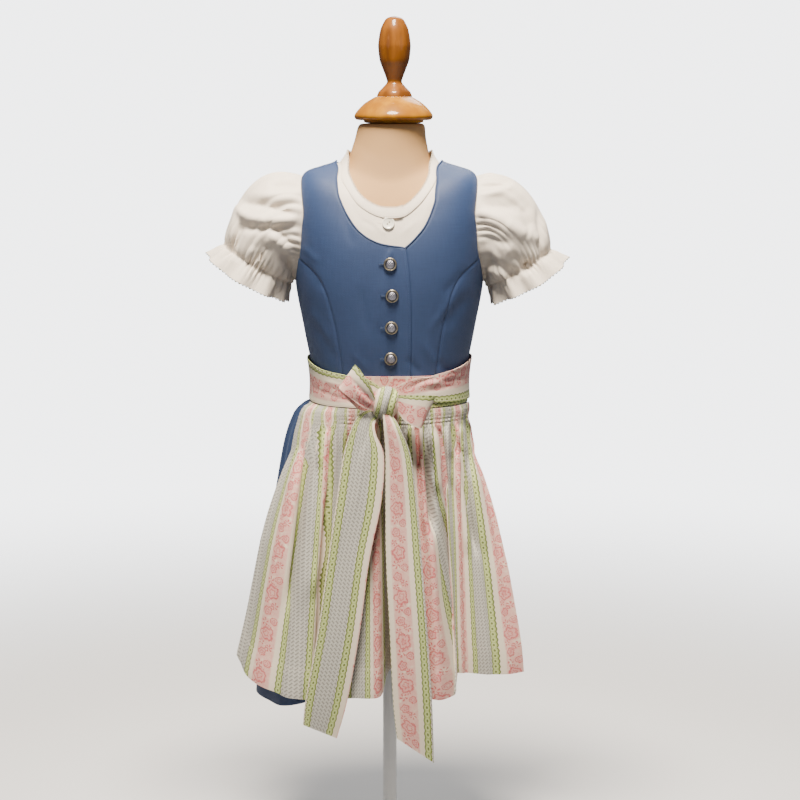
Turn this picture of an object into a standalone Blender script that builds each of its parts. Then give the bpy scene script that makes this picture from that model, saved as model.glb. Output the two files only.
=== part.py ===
"""A child's dirndl on a limbless dress form: blue bodice and gathered skirt, a puff-sleeved blouse
under it, and a striped half apron tied in front with a bow.

Frame: +Z up, the form faces -Y, the origin is the centre of the stand's underside.
The wearer's right is -X. Tables are in millimetres and degrees, and MM turns them into metres.

The torso is a ladder of rings. A place on it is (angle, level): the angle runs round from +X, with
-90 at the centre front, and the level counts up the rings. Every garment layer is that surface
moved outwards, so that the cloth follows the form without touching it.
"""

import math

import bmesh
import bpy
import numpy as np

MM = 0.001

# The form, from its hip to the top of its neck. Each row is one ring, the centre front and centre
# back of which may lie lower than its sides. SQUARE is the power of the superellipse.
SIDE_Z, HALF_WIDTH, FRONT_Z, FRONT_Y, BACK_Z, BACK_Y, SQUARE = range(7)
TORSO_RINGS = np.array([
    (440, 74.0, 440, 60, 440, 70, 2.1),
    (475, 83.0, 475, 67, 475, 78, 2.2),
    (520, 86.0, 520, 71, 520, 78, 2.3),
    (575, 82.5, 575, 69, 575, 66, 2.4),
    (630, 91.5, 630, 74, 630, 69, 2.5),
    (680, 100.5, 680, 78, 680, 73, 2.6),
    (725, 103.0, 715, 78, 720, 76, 2.7),
    (762, 103.0, 740, 75, 752, 76, 2.7),
    (787, 100.0, 757, 70, 774, 72, 2.6),
    (801, 91.0, 769, 65, 788, 66, 2.5),
    (807, 75.5, 780, 59, 798, 59, 2.3),
    (812, 60.0, 791, 52, 808, 51, 2.2),
    (820, 49.0, 803, 45, 820, 45, 2.1),
    (838, 41.5, 822, 40, 836, 40, 2.0),
    (860, 37.5, 860, 37, 860, 37, 2.0),
], float)
TOP_LEVEL = len(TORSO_RINGS) - 1
FLAT_RINGS = 6
NECK_LEAN, NECK_LEAN_LEVEL = 3.0, 11.5

# How far each layer's inner face stands off the form, and how thick its cloth is.
FORM_OFF, FORM_NECK_OFF, FORM_NECK_LEVELS = -3.4, -0.4, (11.5, 13.0)
BLOUSE_OFF, BLOUSE_CLOTH = 0.9, 1.0
NECKBAND_OFF, NECKBAND_CLOTH = 2.3, 1.0
BODICE_OFF, BODICE_CLOTH = 3.65, 1.4
SHOULDER_RISE, SHOULDER_LEVELS = 0.9, (7.0, 9.0)
PLACKET_RISE, PLACKET_RUN = 0.6, 16.0
WAISTBAND_OFF, WAISTBAND_CLOTH = 5.9, 1.0
WAISTBAND_HEIGHTS = (549.2, 567.0, 585.0)
TIE_CLOTH = 1.1
SKIRT_CLOTH, APRON_CLOTH, SLEEVE_CLOTH = 1.2, 1.1, 1.0
SEAM = 0.3
SEAM_DEG = 0.12
SEAM_LEVEL = 0.004
TOP_SHAPE_FADE = 3

# Lines on the torso, as (angle, level). The -X side comes first where the two sides differ.
WAIST_LEVEL = 2.87
BLOUSE_HEM_LEVEL = 4.0
ARMHOLE_BY_DEVIATION = [
    (0, 8.9), (16, 8.35), (26, 7.32), (26, 6.5), (24, 5.85), (15, 5.25), (0, 4.95),
    (-15, 5.25), (-24, 5.85), (-26, 6.5), (-26, 7.32), (-16, 8.35),
]
ARMHOLE_CENTRE_LEVEL = 6.9
ARMHOLE_UNDERARM = 6
ARMHOLE_SEAM_LEVEL = 5.72
BODICE_NECK_RIGHT = [
    (-77, 6.3), (-80.5, 6.38), (-99.5, 6.56), (-113.5, 6.94), (-123.5, 7.6), (-131.5, 8.48),
    (-139.5, 9.52), (-155.5, 10.82), (-180, 11.2),
]
BODICE_NECK_LEFT = [
    (-76, 6.36), (-69, 6.68), (-60, 7.26), (-52, 8.26), (-45.5, 9.44), (-28, 11.0), (0, 11.2),
]
BODICE_NECK_BACK = [(0, 11.2), (30, 10.6), (60, 9.6), (90, 9.2), (120, 9.6), (150, 10.6), (180, 11.2)]
PRINCESS_SEAM_RIGHT = [
    (-129, WAIST_LEVEL), (-131, 4.0), (-134.5, 4.74), (-136, 4.94), (-140, 5.26), (-146.5, 5.52),
]
PLACKET_EDGE = [(-71.5, WAIST_LEVEL), (-73, 4.6), (-77, 6.3)]
BLOUSE_NECK = [
    (-180, 11.75), (-158.5, 11.45), (-143.5, 10.5), (-129.5, 9.6), (-117.5, 8.72), (-105, 8.28),
    (-92, 8.1), (-77.5, 8.1), (-65, 8.62), (-52.5, 9.45), (-40, 10.3), (-26, 11.2), (0, 11.75),
]
BLOUSE_NECK_BACK = [(0, 11.75), (45, 11.5), (90, 11.4), (135, 11.5), (180, 11.75)]
NECKBAND_LEVELS = (-0.06, 0.78)
NECKBAND_LAP_ANGLE, NECKBAND_LAP_RUN, NECKBAND_LAP_RISE = -77.5, 20.0, 0.5

# Buttons: the four metal ones close the bodice, and the shell one closes the blouse.
METAL_BUTTONS = [(-89.0, 5.80), (-87.5, 4.88), (-88.0, 4.18), (-88.5, 3.54)]
METAL_BUTTON_PROFILE = [
    (6.6, 0.0), (7.2, 0.7), (7.2, 1.6), (6.5, 2.3), (5.5, 2.1), (4.9, 2.4), (3.0, 3.5), (0.0, 4.0),
]
SHELL_BUTTON = (-90.5, 7.5)
SHELL_BUTTON_PROFILE = [(6.0, 0.0), (6.5, 0.6), (6.5, 1.5), (5.8, 2.0), (4.6, 1.5), (0.0, 1.4)]
SHELL_BUTTON_HOLE_RADIUS, SHELL_BUTTON_HOLE_APART = 0.85, 3.0
PIPING_RADIUS, PIPING_LIFT, PIPING_GAP = 0.9, 0.3, 1.0

# The blue skirt, by its hem: angle, distance from the axis and height.
SKIRT_HEM = [
    (-180, 150, 224), (-165, 154, 220), (-152, 157, 215), (-143, 153, 214), (-135, 130, 219),
    (-126, 106, 232), (-115, 88, 246), (-100, 77, 252), (-85, 75, 252), (-70, 80, 252),
    (-55, 92, 252), (-42, 107, 252), (-30, 126, 250), (-18, 142, 249), (0, 148, 247),
    (30, 152, 240), (60, 160, 235), (90, 165, 232), (120, 160, 230), (150, 152, 227), (180, 150, 224),
]
SKIRT_TOP_Z, SKIRT_FREE_Z = 567.0, 549.0
SKIRT_HUG = 3.3
SKIRT_FOLDS, SKIRT_FOLD_DEPTH, SKIRT_FRONT_FOLD_DEPTH, SKIRT_FOLD_AT_WAIST = 14, 8.0, 2.5, 0.15
SKIRT_DROPS = (1.0, 0.8, 0.62, 0.45, 0.3, 0.18, 0.1, 0.05, 0.0)
# How far out of the way to the hem the skirt has come, by drop: on the -X side and back, on the
# +X side, and in front.
SKIRT_FLARE = np.array([
    (0.00, 0.00, 0.00, 0.00), (0.035, 0.28, 0.00, 0.02), (0.10, 0.42, 0.00, 0.08),
    (0.16, 0.50, 0.03, 0.14), (0.25, 0.58, 0.16, 0.25), (0.35, 0.66, 0.38, 0.35),
    (0.50, 0.76, 0.58, 0.50), (0.65, 0.84, 0.78, 0.65), (0.80, 0.92, 0.92, 0.80), (1.0, 1.0, 1.0, 1.0),
])

# The apron, by its hem: repeat, x, y and z. repeat counts the cloth's stripe repeats from its -X
# edge, a whole number at the middle of each woven grey stripe.
APRON_HEM = np.array([
    (-0.10, -172, -76, 268), (0.00, -167, -82, 259), (0.25, -158, -95, 249), (0.50, -144, -106, 242),
    (0.75, -127, -114, 236), (1.00, -107, -121, 232), (1.25, -90, -123, 231), (1.60, -78, -114, 233),
    (2.00, -68, -102, 236), (2.40, -58, -112, 234), (2.70, -48, -121, 232), (3.00, -34, -122, 232),
    (3.40, -15, -119, 232), (3.62, -8, -110, 236), (4.00, -4, -90, 250), (4.30, 1, -86, 256),
    (4.60, 5, -92, 250), (4.85, 9, -112, 236), (5.00, 18, -121, 232), (5.25, 36, -124, 232),
    (5.50, 57, -124, 232), (5.70, 68, -119, 232), (6.10, 72, -104, 240), (6.60, 74.5, -90, 249),
    (7.00, 76.5, -84, 251), (7.50, 83, -86, 251), (8.00, 107, -91, 250), (8.25, 122, -91, 250),
    (8.50, 140, -88, 250), (8.63, 151, -84, 251),
], float)
APRON_TOP_Z, APRON_TOP_LEVEL = 548.4, 2.52
APRON_OFF = 5.8
APRON_ANGLES = (-166.0, -13.0)
# How far of the way to the hem the apron has come, by drop: at its -X side, middle and +X side.
APRON_DROPS = (1.0, 0.9, 0.8, 0.66, 0.52, 0.39, 0.27, 0.17, 0.09, 0.04, 0.0)
APRON_FLARE = np.array([
    (0.00, 0.00, 0.00, 0.00), (0.05, 0.06, 0.03, 0.00), (0.13, 0.17, 0.12, 0.05), (0.20, 0.28, 0.20, 0.14),
    (0.27, 0.39, 0.27, 0.27), (0.35, 0.49, 0.35, 0.40), (0.43, 0.58, 0.43, 0.50), (0.53, 0.67, 0.53, 0.61),
    (0.62, 0.73, 0.62, 0.71), (0.82, 0.86, 0.82, 0.88), (0.90, 0.92, 0.90, 0.95), (1.0, 1.0, 1.0, 1.0),
])
APRON_SIDE_SHARE = 0.3
APRON_GATHERS, GATHER_DEPTH = 21, 1.3
GATHER_FADE = [(0.0, 0.6), (0.05, 1.0), (0.35, 0.0)]
APRON_CLEARANCE = 3.0

# The tie. Each wrap runs from the knot round its side to the centre back, by angle, top edge
# height, bottom edge height and distance off the form.
TIE_WRAP_RIGHT = [
    (-93, 569, 550, 7.8), (-110, 583, 549.5, 7.7), (-126, 586, 549.5, 7.7), (-145, 590, 549.5, 7.7),
    (-172, 598, 551, 7.4), (-220, 598, 553, 6.5), (-269.6, 596, 552, 6.1),
]
TIE_WRAP_LEFT = [
    (-91, 569, 550, 7.8), (-70, 582, 554, 7.7), (-56, 584, 556, 7.7), (-46, 588, 554, 7.7),
    (-8, 599, 552, 7.4), (40, 598, 553, 6.5), (89.6, 596, 552, 6.1),
]
KNOT_CENTRE, KNOT_RADII, KNOT_TILT = (-3.0, -91.1, 557.5), (14.0, 12.65, 18.0), 14.0
KNOT_GROOVE_X, KNOT_GROOVE_WIDTH, KNOT_GROOVE_DEPTH = 0.25, 0.22, 0.12
# Each ribbon of the bow, by the x, y, z of one edge and the x, y, z of the other.
BOW_LOOP_RIGHT = [
    (-15.2, -98.5, 564, -16.2, -96, 549), (-28, -104, 579, -30, -102, 555), (-38, -104, 593, -50, -103, 570),
    (-41.5, -99, 597.5, -56, -98, 574), (-38, -94, 594, -52, -92, 568), (-28, -93.5, 580, -34, -92, 551),
    (-17.8, -92.5, 566, -19.9, -91, 549),
]
BOW_LOOP_LEFT = [
    (10.2, -97.5, 567, 9.4, -96, 548), (26, -105, 568, 20, -106, 535), (42, -106, 568, 34, -107, 527),
    (50.5, -101, 567, 37.5, -102, 526), (45, -95, 566, 34, -96, 528), (28, -94.5, 566, 22, -95, 536),
    (12.3, -91.5, 565, 12.1, -91, 549),
]
BOW_TAIL_RIGHT = [
    (-17.6, -91, 551, -12.6, -91, 539), (-28, -93.5, 547, -14.5, -94, 531),
    (-36, -96, 530, -16, -97, 519),
    (-43, -100, 500, -17.5, -101, 496), (-55, -107, 445, -20, -108, 443), (-67, -115, 387, -21.5, -116, 387),
    (-80, -124, 310, -33, -125, 310), (-91.6, -131, 235, -45.3, -132, 235),
    (-95, -133, 205, -57.6, -134, 190),
]
BOW_TAIL_LEFT = [
    (-7, -101.2, 546.6, 3.5, -97.2, 543.4), (-6, -105, 532, 13, -103, 529), (-4, -106, 500, 24, -105, 500),
    (-4, -110, 445, 31, -109, 445), (-3.4, -117, 387, 36, -116, 387), (0.5, -126, 310, 42, -125, 310),
    (4.3, -132, 232, 47.3, -132, 232), (8.7, -135, 190, 49.6, -135, 162),
]

# The sleeves: a puff from the armhole to the elastic at the cuff, and a frill beyond it. Each row
# is the side, the cuff's centre, with x measured outwards, and its long and deep radius.
SLEEVES = {"r": (-1, 148.5, -3.0, 703.0, 42.5, 39.0), "l": (1, 146.5, -3.0, 699.0, 40.0, 38.0)}
CUFF_TILT = 30.0
SLEEVE_ROOT_SCALE, SLEEVE_ROOT_OFF = 0.94, 1.5
SLEEVE_LEAVES = (0.97, 0.24)
SLEEVE_SPREAD = 0.35
# How far the puff stands off the armhole, off the cuff, and out from the cuff's rim.
SLEEVE_REACH = {"top": (40.0, 46.0, 8.0), "front": (30.0, 26.0, 14.0), "under": (6.0, 7.0, 1.0)}
FRILL_LENGTH, FRILL_FLARE, FRILL_WAVE, FRILL_WAVES, FRILL_TURN = 25.0, 5.0, 3.0, 9, 0.6
CUFF_GATHERS, CUFF_GATHER_DEPTH = 12, 1.8

# Turned wood and steel of the stand, as (radius, z) from the top down.
FINIAL_PROFILE = [
    (0.0, 978.0), (8.5, 975.6), (13.0, 969.2), (16.0, 961.5), (18.0, 949.0), (18.1, 942.0), (16.6, 930.0),
    (14.0, 922.5), (10.0, 912.0), (8.3, 906.0), (10.0, 901.5), (14.5, 898.0), (18.6, 896.0), (19.8, 893.6),
    (19.2, 891.0), (17.0, 889.7), (0.0, 889.7),
]
CAP_PROFILE = [
    (0.0, 889.4), (21.5, 889.4), (26.0, 887.4), (33.0, 882.4), (39.5, 876.0), (43.0, 871.0), (43.9, 867.4),
    (42.4, 864.6), (39.0, 863.6), (33.6, 863.4), (33.2, 861.3), (30.0, 860.3), (0.0, 860.3),
]
FINIAL_X, CAP_X = 5.8, 4.8
POLE_RADIUS, POLE_BOTTOM_Z, POLE_TOP_Z = 8.0, 30.3, 440.4
BASE_PROFILE = [
    (0.0, 30.0), (15.0, 30.0), (18.0, 28.0), (20.0, 19.0), (24.0, 16.5), (124.0, 12.5), (129.0, 10.5),
    (130.0, 7.5), (130.0, 1.5), (128.5, 0.0), (0.0, 0.0),
]

MATERIALS = {
    "form_jersey": ((0.80, 0.63, 0.46), 0.85, 0.0),
    "varnished_wood": ((0.56, 0.27, 0.07), 0.25, 0.0),
    "stand_paint": ((0.85, 0.84, 0.82), 0.45, 0.0),
    "blue_cotton": ((0.075, 0.15, 0.34), 0.75, 0.0),
    "cream_cotton": ((0.80, 0.75, 0.68), 0.70, 0.0),
    "apron_stripe": ((0.74, 0.66, 0.58), 0.70, 0.0),
    "antique_silver": ((0.46, 0.44, 0.42), 0.35, 1.0),
    "shell": ((0.82, 0.80, 0.74), 0.30, 0.0),
}


def clear_scene():
    for old in list(bpy.data.objects):
        bpy.data.objects.remove(old, do_unlink=True)


def new_collection(name):
    made = bpy.data.collections.new(name)
    bpy.context.scene.collection.children.link(made)
    return made


def new_material(name):
    color, roughness, metallic = MATERIALS[name]
    made = bpy.data.materials.new(name)
    made.use_nodes = True
    shader = made.node_tree.nodes["Principled BSDF"]
    shader.inputs["Base Color"].default_value = (*color, 1.0)
    shader.inputs["Roughness"].default_value = roughness
    shader.inputs["Metallic"].default_value = metallic
    return made


# ---- curves and the torso surface


def spline(rows, place):
    """Catmull-Rom through the rows of a table, read at fractional row numbers."""
    rows = np.asarray(rows, float)
    place = np.asarray(place, float)
    first = np.clip(np.floor(place).astype(int), 0, len(rows) - 2)
    part = (place - first)[..., None]
    before, here = rows[np.maximum(first - 1, 0)], rows[first]
    there, after = rows[first + 1], rows[np.minimum(first + 2, len(rows) - 1)]
    return 0.5 * (
        2 * here
        + (there - before) * part
        + (2 * before - 5 * here + 4 * there - after) * part**2
        + (3 * here - before - 3 * there + after) * part**3
    )


def eased_step(part):
    part = np.clip(part, 0, 1)
    return part * part * (3 - 2 * part)


def keyed_spline(rows, key):
    """The spline read where its first column has the given value."""
    rows = np.asarray(rows, float)
    return spline(rows, np.interp(key, rows[:, 0], np.arange(len(rows))))[..., 1:]


def torso_bare(angle, level):
    """Points of the form itself, at angles in degrees. Its neck leans a little to +X."""
    ring = spline(TORSO_RINGS, level)
    across, along = np.cos(np.radians(angle)), np.sin(np.radians(angle))
    front = along < 0
    depth = np.where(front, ring[..., FRONT_Y], ring[..., BACK_Y])
    middle_z = np.where(front, ring[..., FRONT_Z], ring[..., BACK_Z])
    power = ring[..., SQUARE]
    wide = (np.abs(across) / ring[..., HALF_WIDTH]) ** power
    deep = (np.abs(along) / depth) ** power
    radius = (wide + deep) ** (-1 / power)
    z = ring[..., SIDE_Z] * across**2 + middle_z * along**2
    up_neck = (np.asarray(level) - NECK_LEAN_LEVEL) / (TOP_LEVEL - NECK_LEAN_LEVEL)
    lean = NECK_LEAN * np.clip(up_neck, 0, 1) ** 2
    return np.stack([radius * across + lean, radius * along, z], -1)


def torso_normal(angle, level):
    step_deg, step_level = 0.1, 0.01
    higher = np.minimum(level + step_level, TOP_LEVEL)
    lower = np.maximum(level - step_level, 0)
    round_it = torso_bare(angle + step_deg, level) - torso_bare(angle - step_deg, level)
    up_it = torso_bare(angle, higher) - torso_bare(angle, lower)
    normal = np.cross(round_it, up_it)
    return normal / np.linalg.norm(normal, axis=-1, keepdims=True)


def on_torso(angle, level, off=0.0):
    angle, level = np.broadcast_arrays(np.asarray(angle, float), np.asarray(level, float))
    return torso_bare(angle, level) + np.asarray(off)[..., None] * torso_normal(angle, level)


def level_at(z):
    """The level at a height below the chest, where every ring is flat."""
    heights = TORSO_RINGS[:FLAT_RINGS, SIDE_Z]
    return np.interp(z, heights, np.arange(len(heights)))


def spaced(line, count):
    """A line of (angle, level) places made smooth and cut into even steps along the form."""
    fine = spline(line, np.linspace(0, len(line) - 1, 24 * (len(line) - 1) + 1))
    points = on_torso(fine[:, 0], fine[:, 1])
    run = np.concatenate([[0], np.cumsum(np.linalg.norm(np.diff(points, axis=0), axis=1))])
    at = np.linspace(0, run[-1], count + 1)
    return np.stack([np.interp(at, run, fine[:, k]) for k in (0, 1)], -1)


def joined(*lines):
    return np.concatenate([lines[0]] + [line[1:] for line in lines[1:]])


def patch(top, left, right):
    """Places (angle, level) inside a left, a right and a top edge that share their corners, over a
    straight bottom. The top edge's own shape fades out quickly below it."""
    u = np.linspace(0, 1, len(top))[:, None, None]
    v = np.linspace(0, 1, len(left))[None, :, None]
    across = (1 - u) * left[None] + u * right[None]
    shape = top[:, None] - (1 - u) * top[0] - u * top[-1]
    return across + shape * v**TOP_SHAPE_FADE


# ---- solids


def add_mesh(name, points, faces, material, parts):
    mesh = bpy.data.meshes.new(name)
    mesh.from_pydata((np.asarray(points) * MM).tolist(), [], faces)
    mesh.materials.append(material)
    mesh.shade_smooth()
    made = bpy.data.objects.new(name, mesh)
    parts.objects.link(made)
    return made


def grid_faces(columns, rows, closed):
    """Quads of a grid whose point (i, j) is number i * rows + j, facing i cross j."""
    faces = []
    for i in range(columns if closed else columns - 1):
        after = (i + 1) % columns
        for j in range(rows - 1):
            faces.append((i * rows + j, after * rows + j, after * rows + j + 1, i * rows + j + 1))
    return faces


def cloth(name, grid, thickness, material, parts, closed=False):
    """A wall of cloth on the outer side of a grid of points, which runs round and then up."""
    columns, rows = grid.shape[:2]
    made = add_mesh(name, grid.reshape(-1, 3), grid_faces(columns, rows, closed), material, parts)
    wall = made.modifiers.new("cloth", "SOLIDIFY")
    wall.thickness = thickness * MM
    wall.offset = 1.0
    return made


def turned(name, profile, steps, material, parts):
    """A turned solid from a profile that runs down its outer side, top to bottom."""
    mesh = bpy.data.meshes.new(name)
    points = [(radius * MM, 0.0, z * MM) for radius, z in profile]
    mesh.from_pydata(points, [(k, k + 1) for k in range(len(points) - 1)], [])
    mesh.materials.append(material)
    made = bpy.data.objects.new(name, mesh)
    parts.objects.link(made)
    screw = made.modifiers.new("turned", "SCREW")
    screw.steps = screw.render_steps = steps
    screw.use_merge_vertices = True
    screw.merge_threshold = 1e-5
    screw.use_smooth_shade = True
    return made


def tube(name, path, radius, sides, material, parts):
    """A closed ring of cord along a closed path."""
    curve = bpy.data.curves.new(name, "CURVE")
    curve.dimensions = "3D"
    curve.bevel_depth = radius * MM
    curve.bevel_resolution = max(0, sides // 2 - 2)
    line = curve.splines.new("POLY")
    line.points.add(len(path) - 1)
    for point, place in zip(line.points, path * MM):
        point.co = (*place, 1.0)
    line.use_cyclic_u = True
    curve.materials.append(material)
    made = bpy.data.objects.new(name, curve)
    parts.objects.link(made)
    return made


# ---- the stand and the form


def build_stand(materials, parts):
    finial = turned("finial", FINIAL_PROFILE, 14, materials["varnished_wood"], parts)
    cap = turned("neck_cap", CAP_PROFILE, 20, materials["varnished_wood"], parts)
    finial.location.x, cap.location.x = FINIAL_X * MM, CAP_X * MM
    turned("stand_base", BASE_PROFILE, 20, materials["stand_paint"], parts)
    pole = [(0.0, POLE_TOP_Z), (POLE_RADIUS, POLE_TOP_Z), (POLE_RADIUS, POLE_BOTTOM_Z), (0.0, POLE_BOTTOM_Z)]
    turned("stand_pole", pole, 16, materials["stand_paint"], parts)


def build_form(materials, parts):
    columns = 20
    levels = np.arange(0, TOP_LEVEL + 1)
    angles = np.arange(columns) * 360 / columns
    low, high = FORM_NECK_LEVELS
    off = FORM_OFF + (FORM_NECK_OFF - FORM_OFF) * eased_step((levels - low) / (high - low))
    grid = on_torso(angles[:, None], levels[None, :], off[None, :])
    rows = len(levels)
    faces = grid_faces(columns, rows, closed=True)
    faces.append([i * rows for i in reversed(range(columns))])
    faces.append([i * rows + rows - 1 for i in range(columns)])
    add_mesh("dress_form_body", grid.reshape(-1, 3), faces, materials["form_jersey"], parts)


# ---- the bodice and the blouse


def mirrored(line):
    """The same line on the +X side of the front."""
    return [(-180 - angle, level) for angle, level in line]


def armhole_half(side, half):
    """One armhole edge from the underarm to the shoulder: side -1 or 1, half 'front' or 'back'."""
    if half == "front":
        places = ARMHOLE_BY_DEVIATION[ARMHOLE_UNDERARM::-1]
    else:
        places = ARMHOLE_BY_DEVIATION[ARMHOLE_UNDERARM:] + [ARMHOLE_BY_DEVIATION[0]]
    wearer_right = -180 if half == "front" else 180
    return [(wearer_right + dev if side < 0 else -dev, level) for dev, level in places]


def above(line, level):
    """The part of an upward line that lies above a level."""
    fine = spline(line, np.linspace(0, len(line) - 1, 12 * (len(line) - 1) + 1))
    start = int(np.argmax(fine[:, 1] > level))
    return fine[start:]


def eased(line, angle=0.0, level=0.0):
    return [(a + angle, b + level) for a, b in line]


def bodice_off(places):
    """The bodice's inner face: a little fuller over the shoulders, where the blouse's band lies."""
    low, high = SHOULDER_LEVELS
    return BODICE_OFF + SHOULDER_RISE * eased_step((places[..., 1] - low) / (high - low))


def placket_rise(places):
    """How far the overlapping front stands up towards its free edge."""
    x = on_torso(places[..., 0], places[..., 1])[..., 0]
    edge_x = on_torso(*PLACKET_EDGE[0])[0]
    return PLACKET_RISE * eased_step(1 - (edge_x - x) / PLACKET_RUN)


def centre_front(side, across, up):
    """The (angle, level) grid of one centre front, from its princess seam to the placket."""
    seam = PRINCESS_SEAM_RIGHT if side < 0 else mirrored(PRINCESS_SEAM_RIGHT)
    armhole = armhole_half(side, "front")
    meeting = above(armhole, ARMHOLE_SEAM_LEVEL)
    nudge = SEAM_DEG if side < 0 else -SEAM_DEG
    outer = joined(
        spaced(eased(seam + [tuple(meeting[0])], nudge, SEAM_LEVEL), up[0]),
        spaced(eased([tuple(p) for p in meeting], nudge, SEAM_LEVEL), up[1]),
    )
    outer[-1] = (-180 + SEAM_DEG if side < 0 else -SEAM_DEG, outer[-1][1])
    if side < 0:
        inner_low, inner_high = PLACKET_EDGE, BODICE_NECK_RIGHT
    else:
        inner_low, inner_high = eased(PLACKET_EDGE, 3 * SEAM_DEG, 0.0), BODICE_NECK_LEFT
        inner_low = inner_low[:-1] + [inner_high[0]]
    inner = joined(spaced(inner_low, up[0]), spaced(inner_high, up[1]))
    inner[-1] = (outer[-1][0], inner[-1][1])
    left, right = (outer, inner) if side < 0 else (inner, outer)
    return patch(spaced([left[-1], right[-1]], across), left, right)


def side_front(side, across, up):
    seam = PRINCESS_SEAM_RIGHT if side < 0 else mirrored(PRINCESS_SEAM_RIGHT)
    armhole = spline(armhole_half(side, "front"), np.linspace(0, ARMHOLE_UNDERARM, 73))
    meeting = int(np.argmax(armhole[:, 1] > ARMHOLE_SEAM_LEVEL))
    nudge = -SEAM_DEG if side < 0 else SEAM_DEG
    inner = spaced(eased(seam + [tuple(armhole[meeting])], nudge, -SEAM_LEVEL), up)
    side_angle = -180 + SEAM_DEG if side < 0 else -SEAM_DEG
    underarm_level = armhole[0][1]
    outer = spaced([(side_angle, WAIST_LEVEL), (side_angle, underarm_level)], up)
    low = eased([tuple(p) for p in armhole[: meeting + 1]], nudge, -SEAM_LEVEL)
    low[0] = (side_angle, underarm_level)
    low[-1] = tuple(inner[-1])
    left, right = (outer, inner) if side < 0 else (inner, outer)
    top = spaced(low, across) if side < 0 else spaced(low[::-1], across)
    return patch(top, left, right)


def body_panel(half, neck, bottom_level, across, up, inset=0.0):
    """A whole front or back: side seams, armholes, shoulders and a neckline in one grid.
    across counts the cells of a shoulder and of the neckline, and up those of a side and of an
    armhole's lower and upper part."""
    first, last = (-180 + SEAM_DEG, -SEAM_DEG) if half == "front" else (SEAM_DEG, 180 - SEAM_DEG)
    sides = (-1, 1) if half == "front" else (1, -1)
    edges = []
    for side, angle in zip(sides, (first, last)):
        line = armhole_half(side, half)
        hole = joined(spaced(line[:3], up[1]), spaced(line[2:], up[2]))
        hole[0, 0] = hole[-1, 0] = angle
        edges.append(joined(spaced([(angle, bottom_level), tuple(hole[0])], up[0]), hole))
    left, right = edges
    neckline = spaced(neck, across[1])
    neckline[0, 0], neckline[-1, 0] = first, last
    top = joined(
        spaced([left[-1], neckline[0]], across[0]), neckline, spaced([neckline[-1], right[-1]], across[0])
    )
    return patch(top, left, right)


def panel(name, places, off, thickness, material, parts):
    return cloth(name, on_torso(places[..., 0], places[..., 1], off), thickness, material, parts)


def build_bodice(materials, parts):
    blue = materials["blue_cotton"]
    for side, word in ((-1, "r"), (1, "l")):
        places = centre_front(side, 10 if side < 0 else 8, (7, 8))
        off = bodice_off(places) + (placket_rise(places) if side < 0 else 0)
        panel(f"bodice_center_front_{word}", places, off, BODICE_CLOTH, blue, parts)
        places = side_front(side, 5, 7)
        panel(f"bodice_side_front_{word}", places, bodice_off(places), BODICE_CLOTH, blue, parts)
    places = body_panel("back", BODICE_NECK_BACK, WAIST_LEVEL, (4, 12), (4, 4, 4))
    panel("bodice_back", places, bodice_off(places), BODICE_CLOTH, blue, parts)
    build_piping(materials, parts)
    off = BODICE_OFF + BODICE_CLOTH + SEAM
    silver = materials["antique_silver"]
    for number, place in enumerate(METAL_BUTTONS, 1):
        add_button(f"bodice_button_{number}", METAL_BUTTON_PROFILE, place, off, silver, parts)


def build_piping(materials, parts):
    """The fine cord round the whole neckline, just inside the bodice's edge."""
    around = joined(spaced(BODICE_NECK_LEFT, 14), spaced(BODICE_NECK_BACK, 16))
    around = np.concatenate([around, spaced(BODICE_NECK_RIGHT[::-1], 18)[1:] - (360, 0)])
    around[30:, 0] += 360 * (around[30:, 0] < -180)
    off = bodice_off(around) + BODICE_CLOTH / 2 + PIPING_LIFT
    path = on_torso(around[:, 0], around[:, 1], off)
    heading = np.roll(path, -1, axis=0) - np.roll(path, 1, axis=0)
    inward = np.cross(torso_normal(around[:, 0], around[:, 1]), heading)
    inward /= np.linalg.norm(inward, axis=1, keepdims=True)
    path = path + inward * (PIPING_RADIUS + PIPING_GAP)
    tube("neckline_piping", path, PIPING_RADIUS, 4, materials["blue_cotton"], parts)


def add_button(name, profile, place, off, material, parts):
    """A round button lying on the torso. Its profile is (radius, height), from back to front."""
    centre = on_torso(*place, off)
    face = torso_normal(np.array(place[0]), np.array(place[1]))
    closed_profile = [(0.0, profile[0][1])] + profile
    made = turned(name, closed_profile[::-1], 12, material, parts)
    made.location = centre * MM
    made.rotation_euler = (math.acos(face[2]), 0.0, math.atan2(face[0], -face[1]))
    return made


def build_blouse(materials, parts, cutters):
    cream = materials["cream_cotton"]
    for half, neck in (("front", BLOUSE_NECK), ("back", BLOUSE_NECK_BACK)):
        grid = body_panel(half, neck, BLOUSE_HEM_LEVEL, (3, 10 if half == "front" else 6), (1, 3, 4))
        panel(f"blouse_{half}", grid, BLOUSE_OFF, BLOUSE_CLOTH, cream, parts)
    build_neckband(materials, parts)
    off = BLOUSE_OFF + BLOUSE_CLOTH + SEAM
    button = add_button("blouse_button", SHELL_BUTTON_PROFILE, SHELL_BUTTON, off, materials["shell"], parts)
    for k in (-1, 1):
        add_button_hole(button, k * SHELL_BUTTON_HOLE_APART / 2, cutters)


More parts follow.
